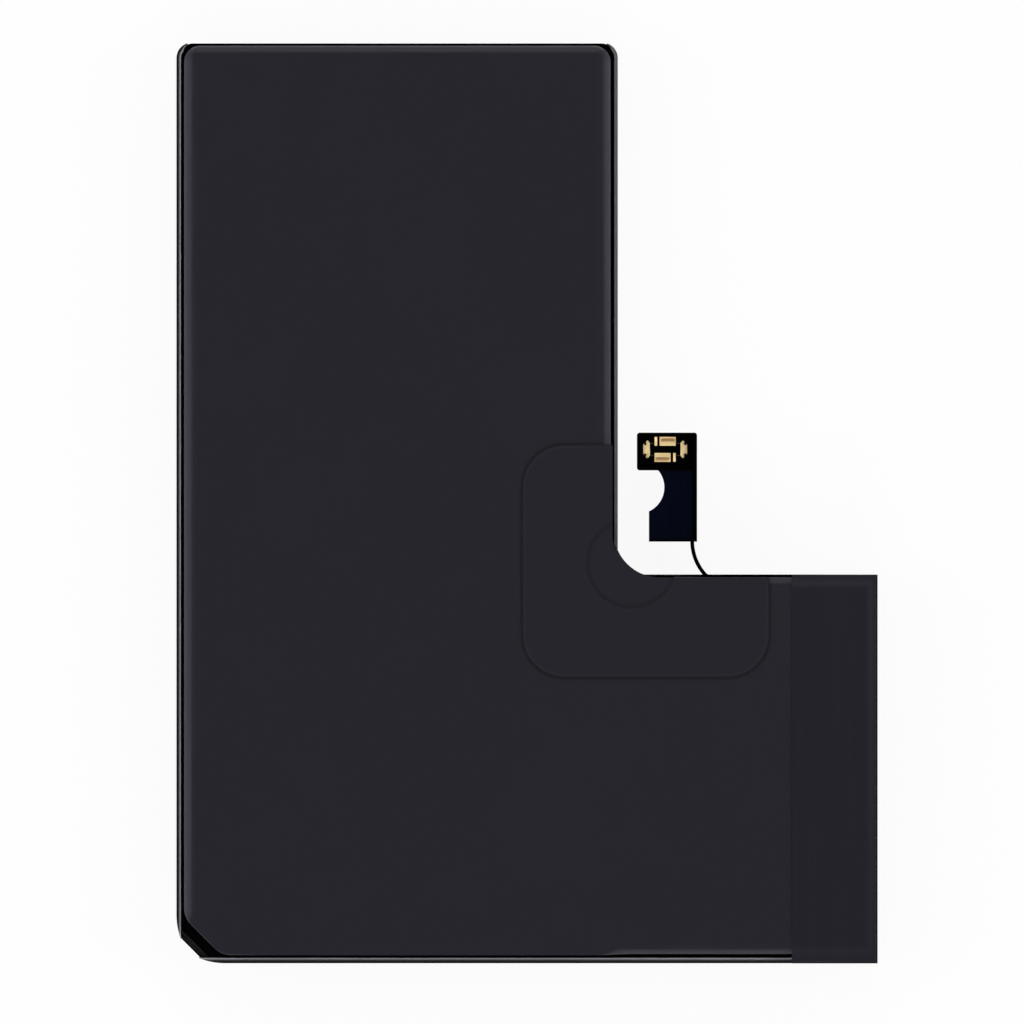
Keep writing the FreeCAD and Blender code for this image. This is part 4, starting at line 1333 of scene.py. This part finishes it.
plug = {
    "middle": (13.475, 5.215),
    "metalLow": 2.04,
    "metalTop": 2.48,
    "rowShift": 0.785,
    "contactWidth": 0.86,
    "edge": (0.05, 4),  # radius and steps of the rounded edges
    "powerLength": 1.59,
    "signalLength": 0.275,
    "rowLength": 2.09,
    # cuts across a contact, measured from its outer long side, and in from both its ends
    "acrossCuts": (0.09, 0.16, 0.23, 0.30, 0.37, 0.44, 0.51, 0.60, 0.63, 0.66, 0.69),
    "alongCuts": (0.07, 0.13, 0.20, 0.30, 0.45),
    "middleGap": 0.02,  # a cut closer to the middle than this is left out
    "pocket": (0.09, 0.51, 0.05),  # from, to and depth
    "pocketEnds": (0.05, 0.30),  # where the pocket starts and where it is at its full depth
    "pocketShadeSpread": 0.4,  # power: less spreads the painted brown shade over more of the pocket
    "stripShade": 0.3,  # painted shade on the narrow strip outside the pocket
    "groove": (0.60, 0.69, 0.015),
    "holdDownOut": 2.15,
    # half outline of a hold-down: in from its outer side, away from its middle, corner radius
    "holdDownHalf": (
        (0.0, 0.42, 0.05), (0.07, 0.59, 0.05), (0.24, 0.64, 0.05), (0.31, 0.80, 0.05),
        (0.41, 0.86, 0.05), (0.52, 0.80, 0.05), (0.66, 0.60, 0.06),
    ),
    "notch": (0.20, 0.53, 0.13),  # in, away and radius of the dark holes
    "holeSides": 24,
    "notchProud": 0.004,  # the housing shows through the holes, just above the metal
    # ridges of the housing beside the hold-downs, grey as painted highlights: from and to along
    # x, away from the middle
    "ridges": ((1.13, 1.45), (0.59, 0.035)),
    "ridgeTop": 2.41,
}


# Stamped contact: a block whose top is cut into a grid, with a pocket and a groove pressed in,
# and brown shade painted in the pocket
def contactShape(middleX, row, length):
    g = plug
    middleY = g["middle"][1] + row * g["rowShift"]
    half, top = g["contactWidth"] / 2, g["metalTop"]
    bm = blockShape(
        middleX - length / 2, middleX + length / 2, middleY - half, middleY + half,
        g["metalLow"], top,
    )
    planes = [(at(0, middleY + row * (half - cut)), (0, 1, 0)) for cut in g["acrossCuts"]]
    for cut in g["alongCuts"]:
        if cut < length / 2 - g["middleGap"]:
            for place in (cut, length - cut):
                planes.append((at(middleX - length / 2 + place, 0), (1, 0, 0)))
    for spot, normal in planes:
        sliced(bm, spot, normal)
    wearAndPaintedLight = bm.verts.layers.float.new("wearAndPaintedLight")
    (start, stop, depth), (grooveStart, grooveStop, grooveDepth) = g["pocket"], g["groove"]
    for vert in bm.verts:
        x, y, z = vert.co / mm
        across, along = half - row * (y - middleY), length / 2 - abs(x - middleX)
        if z > top - near and along > near:
            place = max(0.0, min(1.0, (across - start) / (stop - start)))
            pocket = math.sin(math.pi * place) ** 2 * smoothStep(along, *g["pocketEnds"])
            grooved = grooveStart + near < across < grooveStop - near
            # painted shade: brown in the pocket, and on the narrow strip outside it
            edge = g["stripShade"] * (across < start + near)
            vert[wearAndPaintedLight] = max(pocket ** g["pocketShadeSpread"], edge)
            vert.co.z -= (pocket * depth + grooved * grooveDepth) * mm
    return roundEdges(
        bm, lambda x, y, z: z > top - near and (
            abs(y - middleY) > half - near or abs(x - middleX) > length / 2 - near
        ),
        *g["edge"],
    )


def makeContacts():
    g = plug
    for row, rowName in ((1, "upper"), (-1, "lower")):
        for kind, side in (("Power", 1), ("Signal", -1)):
            length = g[kind.lower() + "Length"]
            middleX = g["middle"][0] + side * row * (g["rowLength"] - length) / 2
            makePiece(
                rowName + kind + "Contact", contactShape(middleX, row, length),
                ["gold_plating"], [rowName + "_" + kind.lower() + "_contact"],
            )


# bracket at one end: side is -1 at the left end and 1 at the right
def holdDownShape(side):
    g = plug
    outX, middleY = g["middle"][0] + side * g["holdDownOut"], g["middle"][1]
    low, top, proud = g["metalLow"], g["metalTop"], g["notchProud"]
    half = list(g["holdDownHalf"])
    around = half + [(x, -y, radius) for x, y, radius in reversed(half)]
    moves = [(outX - side * x, middleY + y, radius) for x, y, radius in around]
    bm = raiseFaces(outlineFace((outX, middleY), moves, low), top - low)
    roundEdges(bm, lambda x, y, z: z > top - near, *g["edge"])
    shapes = [(bm, 0)]
    inward, away, radius = g["notch"]
    for end in (-1, 1):
        hole = bmesh.new()
        bmesh.ops.create_cone(
            hole, cap_ends=True, segments=g["holeSides"], radius1=radius * mm,
            radius2=radius * mm, depth=(top - low + proud) * mm,
        )
        place = at(outX - side * inward, middleY + end * away, (top + low + proud) / 2)
        bmesh.ops.translate(hole, verts=hole.verts, vec=place)
        shapes.append((hole, 1))
    return joined(shapes)


# painted highlights along the moulding's edges between the contacts and the hold-downs
def makeRidges():
    g = plug
    ends, (away, width) = g["ridges"]
    x, y = g["middle"]
    shapes = []
    for side, end in ((-1, -1), (-1, 1), (1, -1), (1, 1)):
        lowX, highX = sorted(x + side * reach for reach in ends)
        middleY = y + end * away
        shapes.append((blockShape(
            lowX, highX, middleY - width / 2, middleY + width / 2, g["metalLow"],
            g["ridgeTop"],
        ), 0))
    makePiece("housingRidges", joined(shapes), ["housingRidgeSheen"])


makeContacts()
makeRidges()
for side, sideName in ((-1, "left"), (1, "right")):
    makePiece(
        sideName + "HoldDown", holdDownShape(side), ["gold_plating", "plug_plastic"],
        [sideName + "_hold_down"],
    )
print("plug ready")
